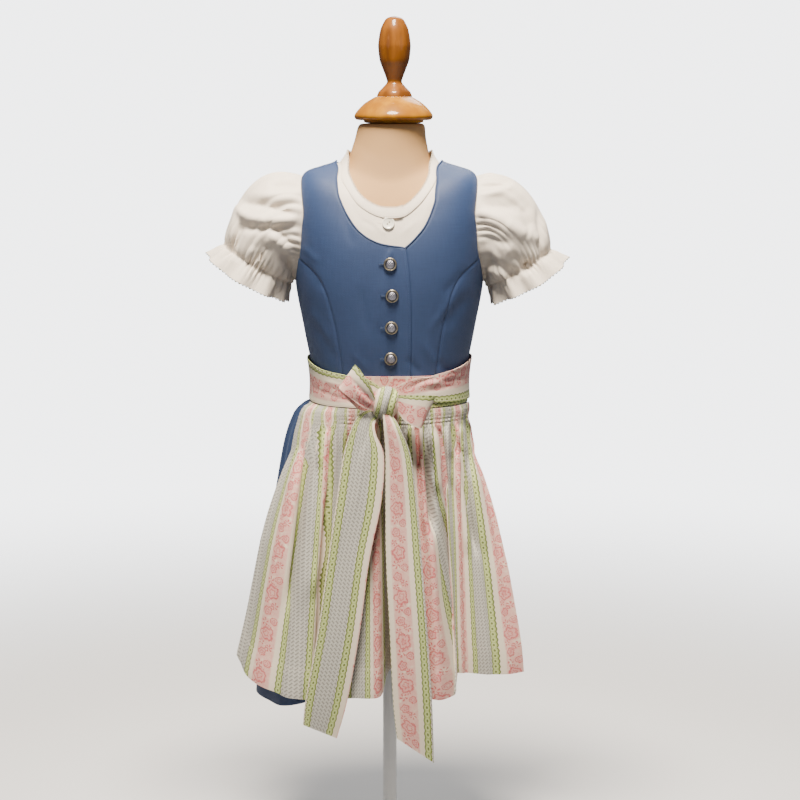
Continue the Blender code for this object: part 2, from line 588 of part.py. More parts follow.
def add_button_hole(button, shift, cutters):
    bm = bmesh.new()
    bmesh.ops.create_cone(
        bm, cap_ends=True, segments=8, radius1=SHELL_BUTTON_HOLE_RADIUS * MM,
        radius2=SHELL_BUTTON_HOLE_RADIUS * MM, depth=8 * MM,
    )
    mesh = bpy.data.meshes.new("button_hole")
    bm.to_mesh(mesh)
    bm.free()
    made = bpy.data.objects.new("button_hole", mesh)
    cutters.objects.link(made)
    made.location = (shift * MM, 0.0, 0.0)
    made.parent = button
    made.hide_render = True
    made.display_type = "WIRE"
    cut = button.modifiers.new("hole", "BOOLEAN")
    cut.operation = "DIFFERENCE"
    cut.object = made


def build_neckband(materials, parts):
    """The round band on the blouse's neckline, lapped at the centre front."""
    front = spaced(BLOUSE_NECK, 26)
    back = spaced(BLOUSE_NECK_BACK, 12)
    lap = int(np.argmin(np.abs(front[:, 0] - NECKBAND_LAP_ANGLE)))
    lower = np.concatenate([front[lap + 1 :], back[1:], front[1 : lap + 1] + (360, 0)])
    level = lower[:, 1:] + np.array(NECKBAND_LEVELS)
    places = np.stack(np.broadcast_arrays(lower[:, :1], level), -1)
    to_end = (lower[-1, 0] - places[..., 0]) / NECKBAND_LAP_RUN
    off = NECKBAND_OFF + NECKBAND_LAP_RISE * np.clip(1 - to_end, 0, 1)
    panel("blouse_neckband", places, off, NECKBAND_CLOTH, materials["cream_cotton"], parts)


def sleeve_grid(sizes, columns, puff_rows, frill_rows):
    """Points of one sleeve's inner face, round it and along it from the armhole to the frill."""
    side, cuff_x, cuff_y, cuff_z, long_radius, deep_radius = sizes
    turn = np.linspace(0, 2 * math.pi, columns, endpoint=False)
    loop = spaced(ARMHOLE_BY_DEVIATION + [ARMHOLE_BY_DEVIATION[0]], columns)[:-1]
    deviation = loop[:, 0] * SLEEVE_ROOT_SCALE
    level = ARMHOLE_CENTRE_LEVEL + (loop[:, 1] - ARMHOLE_CENTRE_LEVEL) * SLEEVE_ROOT_SCALE
    angle = -180 + deviation if side < 0 else -deviation
    root = on_torso(angle, level, SLEEVE_ROOT_OFF)
    tilt = math.radians(CUFF_TILT)
    axis = np.array([side * math.sin(tilt), 0, -math.cos(tilt)])
    outward = np.array([side * math.cos(tilt), 0, math.sin(tilt)])
    forward = np.array([0, -1.0, 0])
    over_arm, to_front = np.cos(turn)[:, None], np.sin(turn)[:, None]
    radial = over_arm * outward + to_front * forward
    centre = np.array([side * cuff_x, cuff_y, cuff_z])
    cuff = centre + over_arm * long_radius * outward + to_front * deep_radius * forward
    over, flank = (1 + np.cos(turn)) / 2, np.sin(turn) ** 2
    top, front, under = (np.array(SLEEVE_REACH[k]) for k in ("top", "front", "under"))
    first, second, swell = (
        (1 - flank) * (under[k] + (top[k] - under[k]) * over) + flank * front[k] for k in range(3)
    )
    away = np.array([side * SLEEVE_LEAVES[0], 0, SLEEVE_LEAVES[1]])
    spread = SLEEVE_SPREAD * first * flank * np.sign(np.sin(turn))
    leave = root + first[:, None] * away + spread[:, None] * forward
    arrive = cuff - second[:, None] * axis + swell[:, None] * radial
    rows = []
    for t in np.linspace(0, 1, puff_rows):
        near, far = (1 - t) ** 3 * root + 3 * (1 - t) ** 2 * t * leave, 3 * (1 - t) * t**2 * arrive
        point = near + far + t**3 * cuff
        gather = CUFF_GATHER_DEPTH * t**5 * np.cos(CUFF_GATHERS * turn)
        rows.append(point + gather[:, None] * radial)
    for t in np.linspace(0, 1, frill_rows + 1)[1:]:
        wave = FRILL_FLARE * t + FRILL_WAVE * t * np.cos(FRILL_WAVES * turn + FRILL_TURN)
        wave += CUFF_GATHER_DEPTH * (1 - t) * np.cos(CUFF_GATHERS * turn)
        rows.append(cuff + FRILL_LENGTH * t * axis + wave[:, None] * radial)
    grid = np.stack(rows, 1)
    return grid if side < 0 else grid[::-1]


def build_sleeves(materials, parts):
    for word, sizes in SLEEVES.items():
        grid = sleeve_grid(sizes, columns=32, puff_rows=8, frill_rows=3)
        cloth(f"sleeve_{word}", grid[::-1], SLEEVE_CLOTH, materials["cream_cotton"], parts, closed=True)


# ---- the skirt and the apron


def skirt_radius(angle, z):
    """Distance of the skirt's inner face from the axis, and how far down it the height lies."""
    hem = keyed_spline(SKIRT_HEM, angle)
    drop = np.clip((SKIRT_FREE_Z - z) / (SKIRT_FREE_Z - hem[..., 1]), 0, 1)
    hugging = on_torso(angle, level_at(np.maximum(z, SKIRT_FREE_Z)), SKIRT_HUG)
    waist = np.linalg.norm(hugging[..., :2], axis=-1)
    ahead, right = -np.sin(np.radians(angle)), np.cos(np.radians(angle))
    front = np.clip(ahead, 0, 1) ** 1.2
    beside = (1 - front) * np.clip(right, 0, 1) ** 0.5
    flare = [np.interp(drop, SKIRT_FLARE[:, 0], SKIRT_FLARE[:, k]) for k in (1, 2, 3)]
    flare = (1 - front - beside) * flare[0] + beside * flare[1] + front * flare[2]
    depth = SKIRT_FOLD_DEPTH + (SKIRT_FRONT_FOLD_DEPTH - SKIRT_FOLD_DEPTH) * np.clip(ahead + 0.3, 0, 1)
    depth = depth * (SKIRT_FOLD_AT_WAIST * (z < SKIRT_FREE_Z) + drop) / (1 + SKIRT_FOLD_AT_WAIST)
    fold = depth * np.cos(np.radians(angle) * SKIRT_FOLDS + 1.0)
    return waist + (hem[..., 0] - waist) * flare + fold


def skirt_point(angle, z):
    radius = skirt_radius(angle, z)
    turn = np.radians(angle)
    return np.stack([radius * np.cos(turn), radius * np.sin(turn), z + 0 * radius], -1)


def build_skirt(materials, parts):
    drops = np.array(SKIRT_DROPS)
    for half, start in (("front", -180), ("back", 0)):
        angles = np.linspace(start + SEAM_DEG, start + 180 - SEAM_DEG, 29)
        hem_z = keyed_spline(SKIRT_HEM, angles)[:, 1]
        z = SKIRT_TOP_Z - SEAM + (hem_z - SKIRT_TOP_Z)[:, None] * drops[None, :]
        grid = skirt_point(np.broadcast_to(angles[:, None], z.shape), z)
        cloth(f"skirt_{half}", grid, SKIRT_CLOTH, materials["blue_cotton"], parts)


def skirt_front_y(x, z):
    """How far forward the skirt's outer face reaches at each place."""
    angles = np.linspace(-180, 0, 91)
    out = np.full(np.shape(x), 1e3)
    for index in np.ndindex(*np.shape(x)):
        ring = skirt_point(angles, np.full(len(angles), z[index]))
        out[index] = np.interp(x[index], ring[:, 0], ring[:, 1], left=1e3, right=1e3)
    return out - SKIRT_CLOTH


def apron_grid(repeats, drops):
    """Points of the apron's inner face, across the cloth and down it."""
    share = (repeats - repeats[0]) / (repeats[-1] - repeats[0])
    angle = APRON_ANGLES[0] + (APRON_ANGLES[1] - APRON_ANGLES[0]) * share
    top = on_torso(angle, APRON_TOP_LEVEL, APRON_OFF)
    hem = keyed_spline(APRON_HEM, repeats)
    left = np.clip(1 - share / APRON_SIDE_SHARE, 0, 1)
    right = np.clip(1 - (1 - share) / APRON_SIDE_SHARE, 0, 1)
    drop = drops[None, :]
    flare = [np.interp(drop, APRON_FLARE[:, 0], APRON_FLARE[:, k]) for k in (1, 2, 3)]
    flare = left[:, None] * flare[0] + right[:, None] * flare[2] + (1 - left - right)[:, None] * flare[1]
    grid = top[:, None] + (hem - top)[:, None] * flare[..., None]
    grid[..., 2] = APRON_TOP_Z + (hem[:, 2] - APRON_TOP_Z)[:, None] * drop
    gather = GATHER_DEPTH * (1 + np.cos(2 * math.pi * APRON_GATHERS * share))[:, None]
    gather = gather * np.interp(drop, *zip(*GATHER_FADE))
    normal = torso_normal(angle, np.full(len(angle), APRON_TOP_LEVEL))
    grid += gather[..., None] * normal[:, None] * (1, 1, 0)
    clear_y = skirt_front_y(grid[..., 0], grid[..., 2]) - APRON_CLEARANCE
    grid[..., 1] = np.minimum(grid[..., 1], clear_y)
    return grid


def build_apron(materials, parts):
    stripe = materials["apron_stripe"]
    repeats = np.linspace(APRON_HEM[0, 0], APRON_HEM[-1, 0], 64)
    cloth("apron_panel", apron_grid(repeats, np.array(APRON_DROPS)), APRON_CLOTH, stripe, parts)
    angles = np.linspace(*APRON_ANGLES, 19)
    levels = level_at(np.array(WAISTBAND_HEIGHTS))
    grid = on_torso(angles[:, None], levels[None, :], WAISTBAND_OFF)
    cloth("apron_waistband", grid, WAISTBAND_CLOTH, stripe, parts)


def build_tie(materials, parts):
    stripe = materials["apron_stripe"]
    for word, table in (("r", TIE_WRAP_RIGHT), ("l", TIE_WRAP_LEFT)):
        rows = spline(table, np.linspace(0, len(table) - 1, 27))
        if word == "r":
            rows = rows[::-1]
        z = rows[:, 2:3] + (rows[:, 1:2] - rows[:, 2:3]) * np.linspace(0, 1, 3)[None, :]
        grid = on_torso(rows[:, 0:1], level_at(z), rows[:, 3:4] + 0 * z)
        cloth(f"tie_wrap_{word}", grid, TIE_CLOTH, stripe, parts)
    build_knot(materials, parts)
    for name, table, steps in (
        ("bow_loop_r", BOW_LOOP_RIGHT, 17), ("bow_loop_l", BOW_LOOP_LEFT, 17),
        ("bow_tail_r", BOW_TAIL_RIGHT, 17), ("bow_tail_l", BOW_TAIL_LEFT, 15),
    ):
        cloth(name, ribbon_grid(table, steps, 4), TIE_CLOTH, stripe, parts)


def ribbon_grid(table, steps, across):
    """A ribbon between two edges, bellied a little forwards across its middle."""
    rows = spline(table, np.linspace(0, len(table) - 1, steps))
    part = np.linspace(0, 1, across)
    grid = rows[:, None, :3] + (rows[:, None, 3:] - rows[:, None, :3]) * part[None, :, None]
    return grid.transpose(1, 0, 2)[:, ::-1]


def build_knot(materials, parts):
    bm = bmesh.new()
    bmesh.ops.create_uvsphere(bm, u_segments=14, v_segments=8, radius=1.0)
    tilt = math.radians(KNOT_TILT)
    points = np.array([vertex.co[:] for vertex in bm.verts])
    dent = np.exp(-((points[:, 0] - KNOT_GROOVE_X) / KNOT_GROOVE_WIDTH) ** 2) * (points[:, 1] < 0)
    points = points * KNOT_RADII * (1 - KNOT_GROOVE_DEPTH * dent)[:, None]
    turned_x = points[:, 0] * math.cos(tilt) + points[:, 2] * math.sin(tilt)
    turned_z = points[:, 2] * math.cos(tilt) - points[:, 0] * math.sin(tilt)
    points = np.stack([turned_x, points[:, 1], turned_z], -1) + KNOT_CENTRE
    for vertex, place in zip(bm.verts, points * MM):
        vertex.co = place
    mesh = bpy.data.meshes.new("bow_knot")
    bm.to_mesh(mesh)
    bm.free()
    mesh.materials.append(materials["apron_stripe"])
    mesh.shade_smooth()
    parts.objects.link(bpy.data.objects.new("bow_knot", mesh))


def main():
    clear_scene()
    parts = new_collection("dirndl_dress_on_form")
    cutters = new_collection("cutters")
    materials = {name: new_material(name) for name in MATERIALS}
    build_stand(materials, parts)
    build_form(materials, parts)
    build_blouse(materials, parts, cutters)
    build_sleeves(materials, parts)
    build_bodice(materials, parts)
    build_skirt(materials, parts)
    build_apron(materials, parts)
    build_tie(materials, parts)


main()
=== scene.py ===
"""A child's dirndl on a limbless dress form: a blue bodice and gathered skirt, a cream puff-sleeved
blouse under them, and a striped half apron tied in front with a bow.

Tables are in millimetres and degrees, and MM turns them into metres. +Z is up, the form faces -Y,
and the wearer's right is -X. A place on the torso is (angle, level): the angle runs round from +X
with -90 at the centre front, and the level counts up the form's rings.
"""

import math

import bpy
import numpy as np
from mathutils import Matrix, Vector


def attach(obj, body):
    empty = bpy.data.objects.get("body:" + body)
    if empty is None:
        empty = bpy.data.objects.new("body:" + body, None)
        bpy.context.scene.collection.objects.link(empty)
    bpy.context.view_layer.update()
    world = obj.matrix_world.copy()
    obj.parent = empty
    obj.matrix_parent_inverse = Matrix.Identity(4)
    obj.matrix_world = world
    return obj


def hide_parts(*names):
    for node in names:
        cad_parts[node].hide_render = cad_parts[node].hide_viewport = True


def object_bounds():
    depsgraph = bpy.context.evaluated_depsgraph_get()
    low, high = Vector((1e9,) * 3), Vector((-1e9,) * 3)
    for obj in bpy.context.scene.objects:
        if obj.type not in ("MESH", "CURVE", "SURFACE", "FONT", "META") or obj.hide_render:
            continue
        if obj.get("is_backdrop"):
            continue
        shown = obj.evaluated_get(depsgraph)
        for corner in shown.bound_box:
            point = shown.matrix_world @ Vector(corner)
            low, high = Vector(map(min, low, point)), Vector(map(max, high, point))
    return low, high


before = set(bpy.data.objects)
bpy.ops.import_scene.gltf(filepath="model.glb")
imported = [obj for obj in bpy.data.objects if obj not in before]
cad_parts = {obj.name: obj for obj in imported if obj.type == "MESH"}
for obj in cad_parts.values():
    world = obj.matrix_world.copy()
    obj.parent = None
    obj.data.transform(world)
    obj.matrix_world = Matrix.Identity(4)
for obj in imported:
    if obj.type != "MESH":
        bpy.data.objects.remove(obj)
cad_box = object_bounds()

# ---- The camera ------------------------------------------------------------------------------
# A long lens, 2.2 m in front of the form and a little above the neck. It looks slightly down and
# takes in everything from the finial to just below the hem.


def placed(name, data, place=(0, 0, 0), turn=(0, 0, 0)):
    """A new object of this data, in the scene."""
    made = bpy.data.objects.new(name, data)
    bpy.context.scene.collection.objects.link(made)
    made.location, made.rotation_euler = place, turn
    return made


camera_data = bpy.data.cameras.new("camera")
camera_data.sensor_width, camera_data.lens = 36.0, 87.6
camera = placed("camera", camera_data, (0.012, -2.2, 0.885), (math.radians(81.26), 0, 0))
bpy.context.scene.camera = camera

# ---- The studio ------------------------------------------------------------------------------
# A sheet of pale paper on the floor, which fades out all round into a pale surround, a large soft
# lamp over the front, a weak one from each side and one from behind.

MM = 0.001


def feed(node, sources):
    """Links or fills a node's inputs, by name or by number."""
    for slot, source in sources.items():
        source = getattr(source, "socket", source)
        if isinstance(source, bpy.types.NodeSocket):
            node.id_data.links.new(source, node.inputs[slot])
        else:
            node.inputs[slot].default_value = source


def wired(tree, kind, sources=None, **settings):
    """Adds a node to a tree, sets it, feeds it and gives its outputs."""
    node = tree.nodes.new(kind)
    for word, value in settings.items():
        setattr(node, word, value)
    feed(node, sources or {})
    return node.outputs


def new_material(name, **finish):
    """A Principled material. Each word sets the shader's socket of that name."""
    made = bpy.data.materials.new(name)
    made.use_nodes = True
    shader = made.node_tree.nodes["Principled BSDF"]
    feed(shader, {word.replace("_", " "): value for word, value in finish.items()})
    return made, shader


def add_piece(name, points, faces, material, corner_cut=None, sharp=50.0):
    """A piece from points in mm, smooth but for edges that bend by more than sharp, in degrees.
    corner_cut gives each face corner its place on the flat cloth."""
    mesh = bpy.data.meshes.new(name)
    mesh.from_pydata((np.asarray(points) * MM).tolist(), [], faces)
    mesh.materials.append(material)
    if corner_cut is not None:
        layer = mesh.uv_layers.new(name="cut")
        layer.data.foreach_set("uv", np.asarray(corner_cut, np.float32).reshape(-1))
    mesh.shade_smooth()
    mesh.set_sharp_from_angle(angle=math.radians(sharp))
    return placed(name, mesh)


def lamp(name, place, size, watts, colour):
    """A round soft lamp that is aimed at the chest and hidden from the camera."""
    data = bpy.data.lights.new(name, "AREA")
    data.shape, data.size, data.energy, data.color = "DISK", size, watts, colour
    away = np.array(place) - CHEST
    turn = math.acos(away[2] / np.linalg.norm(away)), 0, math.atan2(away[0], -away[1])
    placed(name, data, place, turn).visible_camera = False


PAPER_HALF_WIDTH, PAPER_WHOLE_TO, PAPER_GONE_AT = 2600, 0.7, 2.3
paper, paper_shader = new_material("studio_paper", Base_Color=(0.82, 0.82, 0.82, 1), Roughness=0.9)
tree = paper.node_tree
place = wired(tree, "ShaderNodeTexCoord")["Object"]
from_middle = wired(tree, "ShaderNodeVectorMath", {0: place}, operation="LENGTH")["Value"]
fading = {0: from_middle, 1: PAPER_WHOLE_TO, 2: PAPER_GONE_AT, 3: 1.0, 4: 0.0}
faded = wired(tree, "ShaderNodeMapRange", fading, interpolation_type="SMOOTHSTEP")[0]
feed(paper_shader, {"Alpha": faded})
paper_corners = np.array([(-1, -1, 0), (1, -1, 0), (1, 1, 0), (-1, 1, 0)]) * PAPER_HALF_WIDTH
floor_sheet = add_piece("studio_paper", paper_corners, [(0, 1, 2, 3)], paper)
floor_sheet.visible_diffuse = False
floor_sheet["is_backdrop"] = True

WARM, NEUTRAL, SKY, CHEST = (1.0, 0.90, 0.77), (1.0, 0.97, 0.93), (0.97, 0.98, 1.0, 1), (0, 0, 0.62)
lamp("lamp_overhead", (-0.05, -0.58, 2.15), 0.55, 128, WARM)
lamp("lamp_left", (-2.0, -2.0, 1.3), 1.4, 5, NEUTRAL)
lamp("lamp_right", (2.2, -1.8, 1.2), 1.4, 5, NEUTRAL)
lamp("lamp_behind", (0.4, 1.7, 2.2), 1.2, 34, NEUTRAL)
world = bpy.data.worlds.new("studio")
world.use_nodes = True
tree = world.node_tree
surround = tree.nodes["Background"]
feed(surround, {"Color": SKY, "Strength": 4.5})
fill_light = wired(tree, "ShaderNodeBackground", {"Color": SKY, "Strength": 0.24})[0]
seen = wired(tree, "ShaderNodeLightPath")["Is Camera Ray"]
either_one = wired(tree, "ShaderNodeMixShader", {0: seen, 1: fill_light, 2: surround.outputs[0]})
feed(tree.nodes["World Output"], {"Surface": either_one[0]})
bpy.context.scene.world = world

# ---- The dress form --------------------------------------------------------------------------
# A padded child's torso with no arms or head, covered in cream cotton jersey that is pulled smooth
# and tucked in under the wooden cap. The clothes rest on it.

SIDE_Z, HALF_WIDTH, FRONT_Z, FRONT_Y, BACK_Z, BACK_Y, SQUARE = range(7)
TORSO_RINGS = np.array([
    (440, 74, 440, 60, 440, 70, 2.1),
    (475, 83, 475, 67, 475, 78, 2.2),
    (520, 86, 520, 71, 520, 78, 2.3),
    (575, 82.5, 575, 69, 575, 66, 2.4),
    (630, 91.5, 630, 74, 630, 69, 2.5),
    (680, 100.5, 680, 78, 680, 73, 2.6),
    (725, 103, 715, 78, 720, 76, 2.7),
    (762, 103, 740, 75, 752, 76, 2.7),
    (787, 100, 757, 70, 774, 72, 2.6),
    (801, 91, 769, 65, 788, 66, 2.5),
    (807, 75.5, 780, 59, 798, 59, 2.3),
    (812, 60, 791, 52, 808, 51, 2.2),
    (820, 49, 803, 45, 820, 45, 2.1),
    (838, 41.5, 822, 40, 836, 40, 2),
    (860, 37.5, 860, 37, 860, 37, 2),
], float)
TOP_LEVEL = len(TORSO_RINGS) - 1
FLAT_RINGS = 6
NECK_LEAN, NECK_LEAN_LEVEL = 3.0, 11.5
FORM_OFF, FORM_NECK_OFF, FORM_NECK_LEVELS = -3.4, -0.4, (11.5, 13.0)
TUCK_LEVELS, TUCK_SHARE = 0.32, 0.13
KNIT_PITCH, JERSEY_PER_RADIAN, JERSEY_PER_LEVEL = 1.1, 0.08, 0.03


def spline(rows, place):
    """Catmull-Rom through the rows of a table, read at fractional row numbers."""
    rows = np.asarray(rows, float)
    place = np.asarray(place, float)
    first = np.clip(np.floor(place).astype(int), 0, len(rows) - 2)
    part = (place - first)[..., None]
    before, here = rows[np.maximum(first - 1, 0)], rows[first]
    there, after = rows[first + 1], rows[np.minimum(first + 2, len(rows) - 1)]
    return 0.5 * (
        2 * here
        + (there - before) * part
        + (2 * before - 5 * here + 4 * there - after) * part**2
        + (3 * here - before - 3 * there + after) * part**3
    )


def eased_step(part):
    part = np.clip(part, 0, 1)
    return part * part * (3 - 2 * part)


def torso_bare(angle, level):
    """Points of the form itself, at angles in degrees. Its neck leans a little to +X."""
    ring = spline(TORSO_RINGS, level)
    across, along = np.cos(np.radians(angle)), np.sin(np.radians(angle))
    front = along < 0
    depth = np.where(front, ring[..., FRONT_Y], ring[..., BACK_Y])
    middle_z = np.where(front, ring[..., FRONT_Z], ring[..., BACK_Z])
    power = ring[..., SQUARE]
    wide = (np.abs(across) / ring[..., HALF_WIDTH]) ** power
    deep = (np.abs(along) / depth) ** power
    radius = (wide + deep) ** (-1 / power)
    z = ring[..., SIDE_Z] * across**2 + middle_z * along**2
    up_neck = (np.asarray(level) - NECK_LEAN_LEVEL) / (TOP_LEVEL - NECK_LEAN_LEVEL)
    lean = NECK_LEAN * np.clip(up_neck, 0, 1) ** 2
    return np.stack([radius * across + lean, radius * along, z], -1)


def unit(vectors):
    return vectors / np.linalg.norm(vectors, axis=-1, keepdims=True)


def torso_normal(angle, level):
    """Directions square to the form, at places on it."""
    step_deg, step_level = 0.1, 0.01
    higher = np.minimum(level + step_level, TOP_LEVEL)
    lower = np.maximum(level - step_level, 0)
    round_it = torso_bare(angle + step_deg, level) - torso_bare(angle - step_deg, level)
    return unit(np.cross(round_it, torso_bare(angle, higher) - torso_bare(angle, lower)))


def on_torso(angle, level, off=0.0):
    angle, level = np.broadcast_arrays(np.asarray(angle, float), np.asarray(level, float))
    return torso_bare(angle, level) + np.asarray(off)[..., None] * torso_normal(angle, level)


def quads(numbers):
    """Faces of a grid of point numbers, facing its first way cross its second way."""
    corners = (numbers[:-1, :-1], numbers[1:, :-1], numbers[1:, 1:], numbers[:-1, 1:])
    return np.stack(corners, -1).reshape(-1, 4)


def numbered(columns, rows, closed=False):
    """The numbers of a grid's points. A closed one has its first column again after the last."""
    numbers = np.arange(columns * rows).reshape(columns, rows)
    return np.concatenate([numbers, numbers[:1]]) if closed else numbers


def paired(first, second):
    """Two fields side by side, spread over one another's axes."""
    return np.stack(np.broadcast_arrays(first, second), -1)


def at_corners(cut, faces):
    """The place on the flat cloth of each face corner."""
    return cut.reshape(-1, 2)[np.ravel(faces)]


def stands_for(piece, slot, *nodes):
    """Puts a finished piece in the place of its CAD nodes."""
    if nodes:
        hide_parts(*nodes)
    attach(piece, "root")
    return piece


class Term:
    """A number that varies over a surface, written as a formula and kept as Math nodes."""

    def __init__(self, socket):
        self.socket, self.tree = socket, socket.id_data

    def of(self, operation, *others):
        sources = dict(enumerate((self, *others)))
        return Term(wired(self.tree, "ShaderNodeMath", sources, operation=operation)[0])

    def __add__(self, other):
        return self.of("ADD", other)

    def __sub__(self, other):
        return self.of("SUBTRACT", other)

    def __mul__(self, other):
        return self.of("MULTIPLY", other)

    def __truediv__(self, other):
        return self.of("DIVIDE", other)

    def either(self, other):
        return self.of("MAXIMUM", other)

    def above(self, low, high):
        """0 below low and 1 above high, with a soft change between."""
        ends = {0: self, 1: low, 2: high}
        ramp = wired(self.tree, "ShaderNodeMapRange", ends, interpolation_type="SMOOTHSTEP")
        return Term(ramp[0])

    def below(self, low, high):
        """1 below low and 0 above high."""
        return (self * -1.0).above(-high, -low)

    def between(self, low, high, soft=0.3):
        return self.above(low - soft, low + soft) * self.below(high - soft, high + soft)


def cut_terms(material):
    """The place on the flat cloth, across and along it, in mm."""
    where = wired(material.node_tree, "ShaderNodeUVMap", uv_map="cut")["UV"]
    split = wired(material.node_tree, "ShaderNodeSeparateXYZ", {"Vector": where})
    return [Term(split[k]) * 1000.0 for k in (0, 1)]


def noise(material, scale, stretch=(1, 1, 1), detail=3.0, on_cut=False):
    """Soft noise over a piece, or over its flat cloth, stretched along an axis."""
    tree = material.node_tree
    if on_cut:
        where = wired(tree, "ShaderNodeUVMap", uv_map="cut")["UV"]
    else:
        where = wired(tree, "ShaderNodeTexCoord")["Object"]
    mapped = wired(tree, "ShaderNodeMapping", {"Vector": where, "Scale": stretch})["Vector"]
    cloudy = {"Vector": mapped, "Scale": scale, "Detail": detail}
    return Term(wired(tree, "ShaderNodeTexNoise", cloudy)["Fac"])


def coloured(factor, low, high):
    """A colour that runs from low to high with a factor. Each is a colour or a colour socket."""
    low, high = [(*end, 1.0) if isinstance(end, tuple) else end for end in (low, high)]
    return wired(factor.tree, "ShaderNodeMix", {0: factor, 6: low, 7: high}, data_type="RGBA")[2]


def finish(shader, colour, height, depth, **others):
    """Gives a shader a colour, a bump height, whose full depth is in mm, and other terms."""
    bump = wired(shader.id_data, "ShaderNodeBump", {"Height": height, "Distance": depth * MM})
    feed(shader, {"Base Color": colour, "Normal": bump["Normal"], **others})


jersey, jersey_shader = new_material("form_jersey", Roughness=0.5, Specular_IOR_Level=0.35)
wales, courses = (term * (2 * math.pi / KNIT_PITCH) for term in cut_terms(jersey))
knit_tone = coloured(noise(jersey, 22), (0.49, 0.28, 0.115), (0.54, 0.315, 0.135))
finish(jersey_shader, knit_tone, wales.of("SINE") * courses.of("COSINE"), 0.08)

angles = np.linspace(0, 360, 121)
tuck = 1 - np.linspace(0, 1, 13)[1:] ** 0.6
levels = np.linspace(0, TOP_LEVEL - TUCK_LEVELS, 137)
levels = np.concatenate([levels, TOP_LEVEL - TUCK_LEVELS * tuck])
low, high = FORM_NECK_LEVELS
off = FORM_OFF + (FORM_NECK_OFF - FORM_OFF) * eased_step((levels - low) / (high - low))
grid = on_torso(angles[:-1, None], levels[None, :], off[None, :])
neck_top = grid[:, -len(tuck):, :2]
neck_axis = neck_top.mean(axis=0)
neck_top -= (neck_top - neck_axis) * (TUCK_SHARE * (1 - np.sqrt(1 - (1 - tuck) ** 2)))[:, None]
numbers = numbered(*grid.shape[:2], closed=True)
cut = paired(np.radians(angles)[:, None] * JERSEY_PER_RADIAN, levels[None, :] * JERSEY_PER_LEVEL)
faces = quads(numbers).tolist() + [numbers[-2::-1, 0].tolist(), numbers[:-1, -1].tolist()]
corners = at_corners(cut, quads(numbered(*cut.shape[:2])))
corners = np.concatenate([corners, cut[:-1, 0], cut[:-1, -1]])
form = add_piece("form_body", grid.reshape(-1, 3), faces, jersey, corners)
stands_for(form, "form_jersey", "dress_form_body")

# ---- The neck cap and finial -----------------------------------------------------------------
# Two pieces of beech, turned on a lathe, stained golden brown and varnished to a high gloss. The
# egg-shaped finial screws into the domed cap, which closes the top of the neck.

FINIAL_PROFILE = [
    (0, 978), (8.5, 975.6), (13, 969.2), (16, 961.5), (18, 949), (18.1, 942), (16.6, 930),
    (14, 922.5), (10, 912), (8.3, 906), (10.2, 902.6), (14.4, 898.2), (17.4, 895.2), (18, 894.4),
    (19.6, 890.6), (19.8, 889.5), (0, 889.5),
]
CAP_PROFILE = [
    (0, 889.4), (20.2, 889.4), (26, 886.2), (33, 881.6), (39.5, 875.2), (43, 870.6), (43.9, 867.4),
    (42.4, 864.6), (39, 863.6), (33.6, 863.4), (33.2, 861.3), (30, 860.3), (0, 860.3),
]
FINIAL_X, CAP_X = 5.8, 4.8
LATHE_STEPS, LATHE_FINER = 72, 5


def fans(numbers, low, high):
    """Triangles that close a tube of points on one more point at each end."""
    sides = list(zip(numbers[:-1].tolist(), numbers[1:].tolist()))
    return [(a[-1], b[-1], high) for a, b in sides] + [(b[0], a[0], low) for a, b in sides]


def turned(name, profile, material, centre_x=0.0, soft=None, sharp=40.0):
    """A turned solid. Its profile runs down the outer side, and soft names the rows, first and
    last, between which it is a smooth curve."""
    outline = np.array(profile, float)
    if soft:
        first, last = soft
        steps = np.linspace(0, last - first, LATHE_FINER * (last - first) + 1)
        curve = spline(outline[first:last + 1], steps)
        outline = np.concatenate([outline[:first], curve, outline[last + 1:]])
    ring = np.linspace(0, 2 * math.pi, LATHE_STEPS + 1)[:-1, None]
    radius, z = outline[1:-1].T
    points = [centre_x + radius * np.cos(ring), radius * np.sin(ring), z]
    points = np.stack(np.broadcast_arrays(*points), -1).reshape(-1, 3)
    numbers = numbered(LATHE_STEPS, len(z), closed=True)[:, ::-1]
    faces = quads(numbers).tolist() + fans(numbers, len(points) + 1, len(points))
    ends = [(centre_x, 0, outline[0, 1]), (centre_x, 0, outline[-1, 1])]
    points = np.concatenate([points, ends])
    corners = points[[corner for face in faces for corner in face], :2] * MM
    return add_piece(name, points, faces, material, corners, sharp)


def varnished_wood(name, dark, light):
    """Straight-grained beech under a clear, glossy varnish."""
    made, shader = new_material(
        name, Roughness=0.4, Coat_Weight=0.35, Coat_Roughness=0.07, Specular_IOR_Level=0.08
    )
    grain = noise(made, 60, stretch=(1.0, 1.0, 0.09), detail=5.0)
    fleck = noise(made, 420, stretch=(1.0, 1.0, 0.12), detail=2.0).above(0.60, 0.72) * 0.35
    tone = coloured(grain.above(0.35, 0.68), dark, light)
    finish(shader, coloured(fleck, tone, (0.22, 0.08, 0.015)), grain, 0.05)
    return made


# Both pieces are the same beech. The finial's wood is painted darker, as painted shade on its
# upright sides, and the cap's wood is painted lighter, as painted light on its top.
shaded_egg_wood = varnished_wood("finial_wood_painted_shade", (0.095, 0.030, 0.004), (0.19, 0.066, 0.008))
finial = turned("finial_turned", FINIAL_PROFILE, shaded_egg_wood, FINIAL_X, soft=(0, 10))
stands_for(finial, "varnished_wood", "finial")
lit_cap_wood = varnished_wood("neck_cap_wood_painted_light", (0.24, 0.090, 0.002), (0.36, 0.155, 0.004))
cap = turned("neck_cap_turned", CAP_PROFILE, lit_cap_wood, CAP_X, soft=(1, 9))
stands_for(cap, "varnished_wood", "neck_cap")

# ---- The pole and the base -------------------------------------------------------------------
# A steel tube that plugs into the underside of the form, and a heavy round foot with a collar
# that holds it. Both are painted satin white.

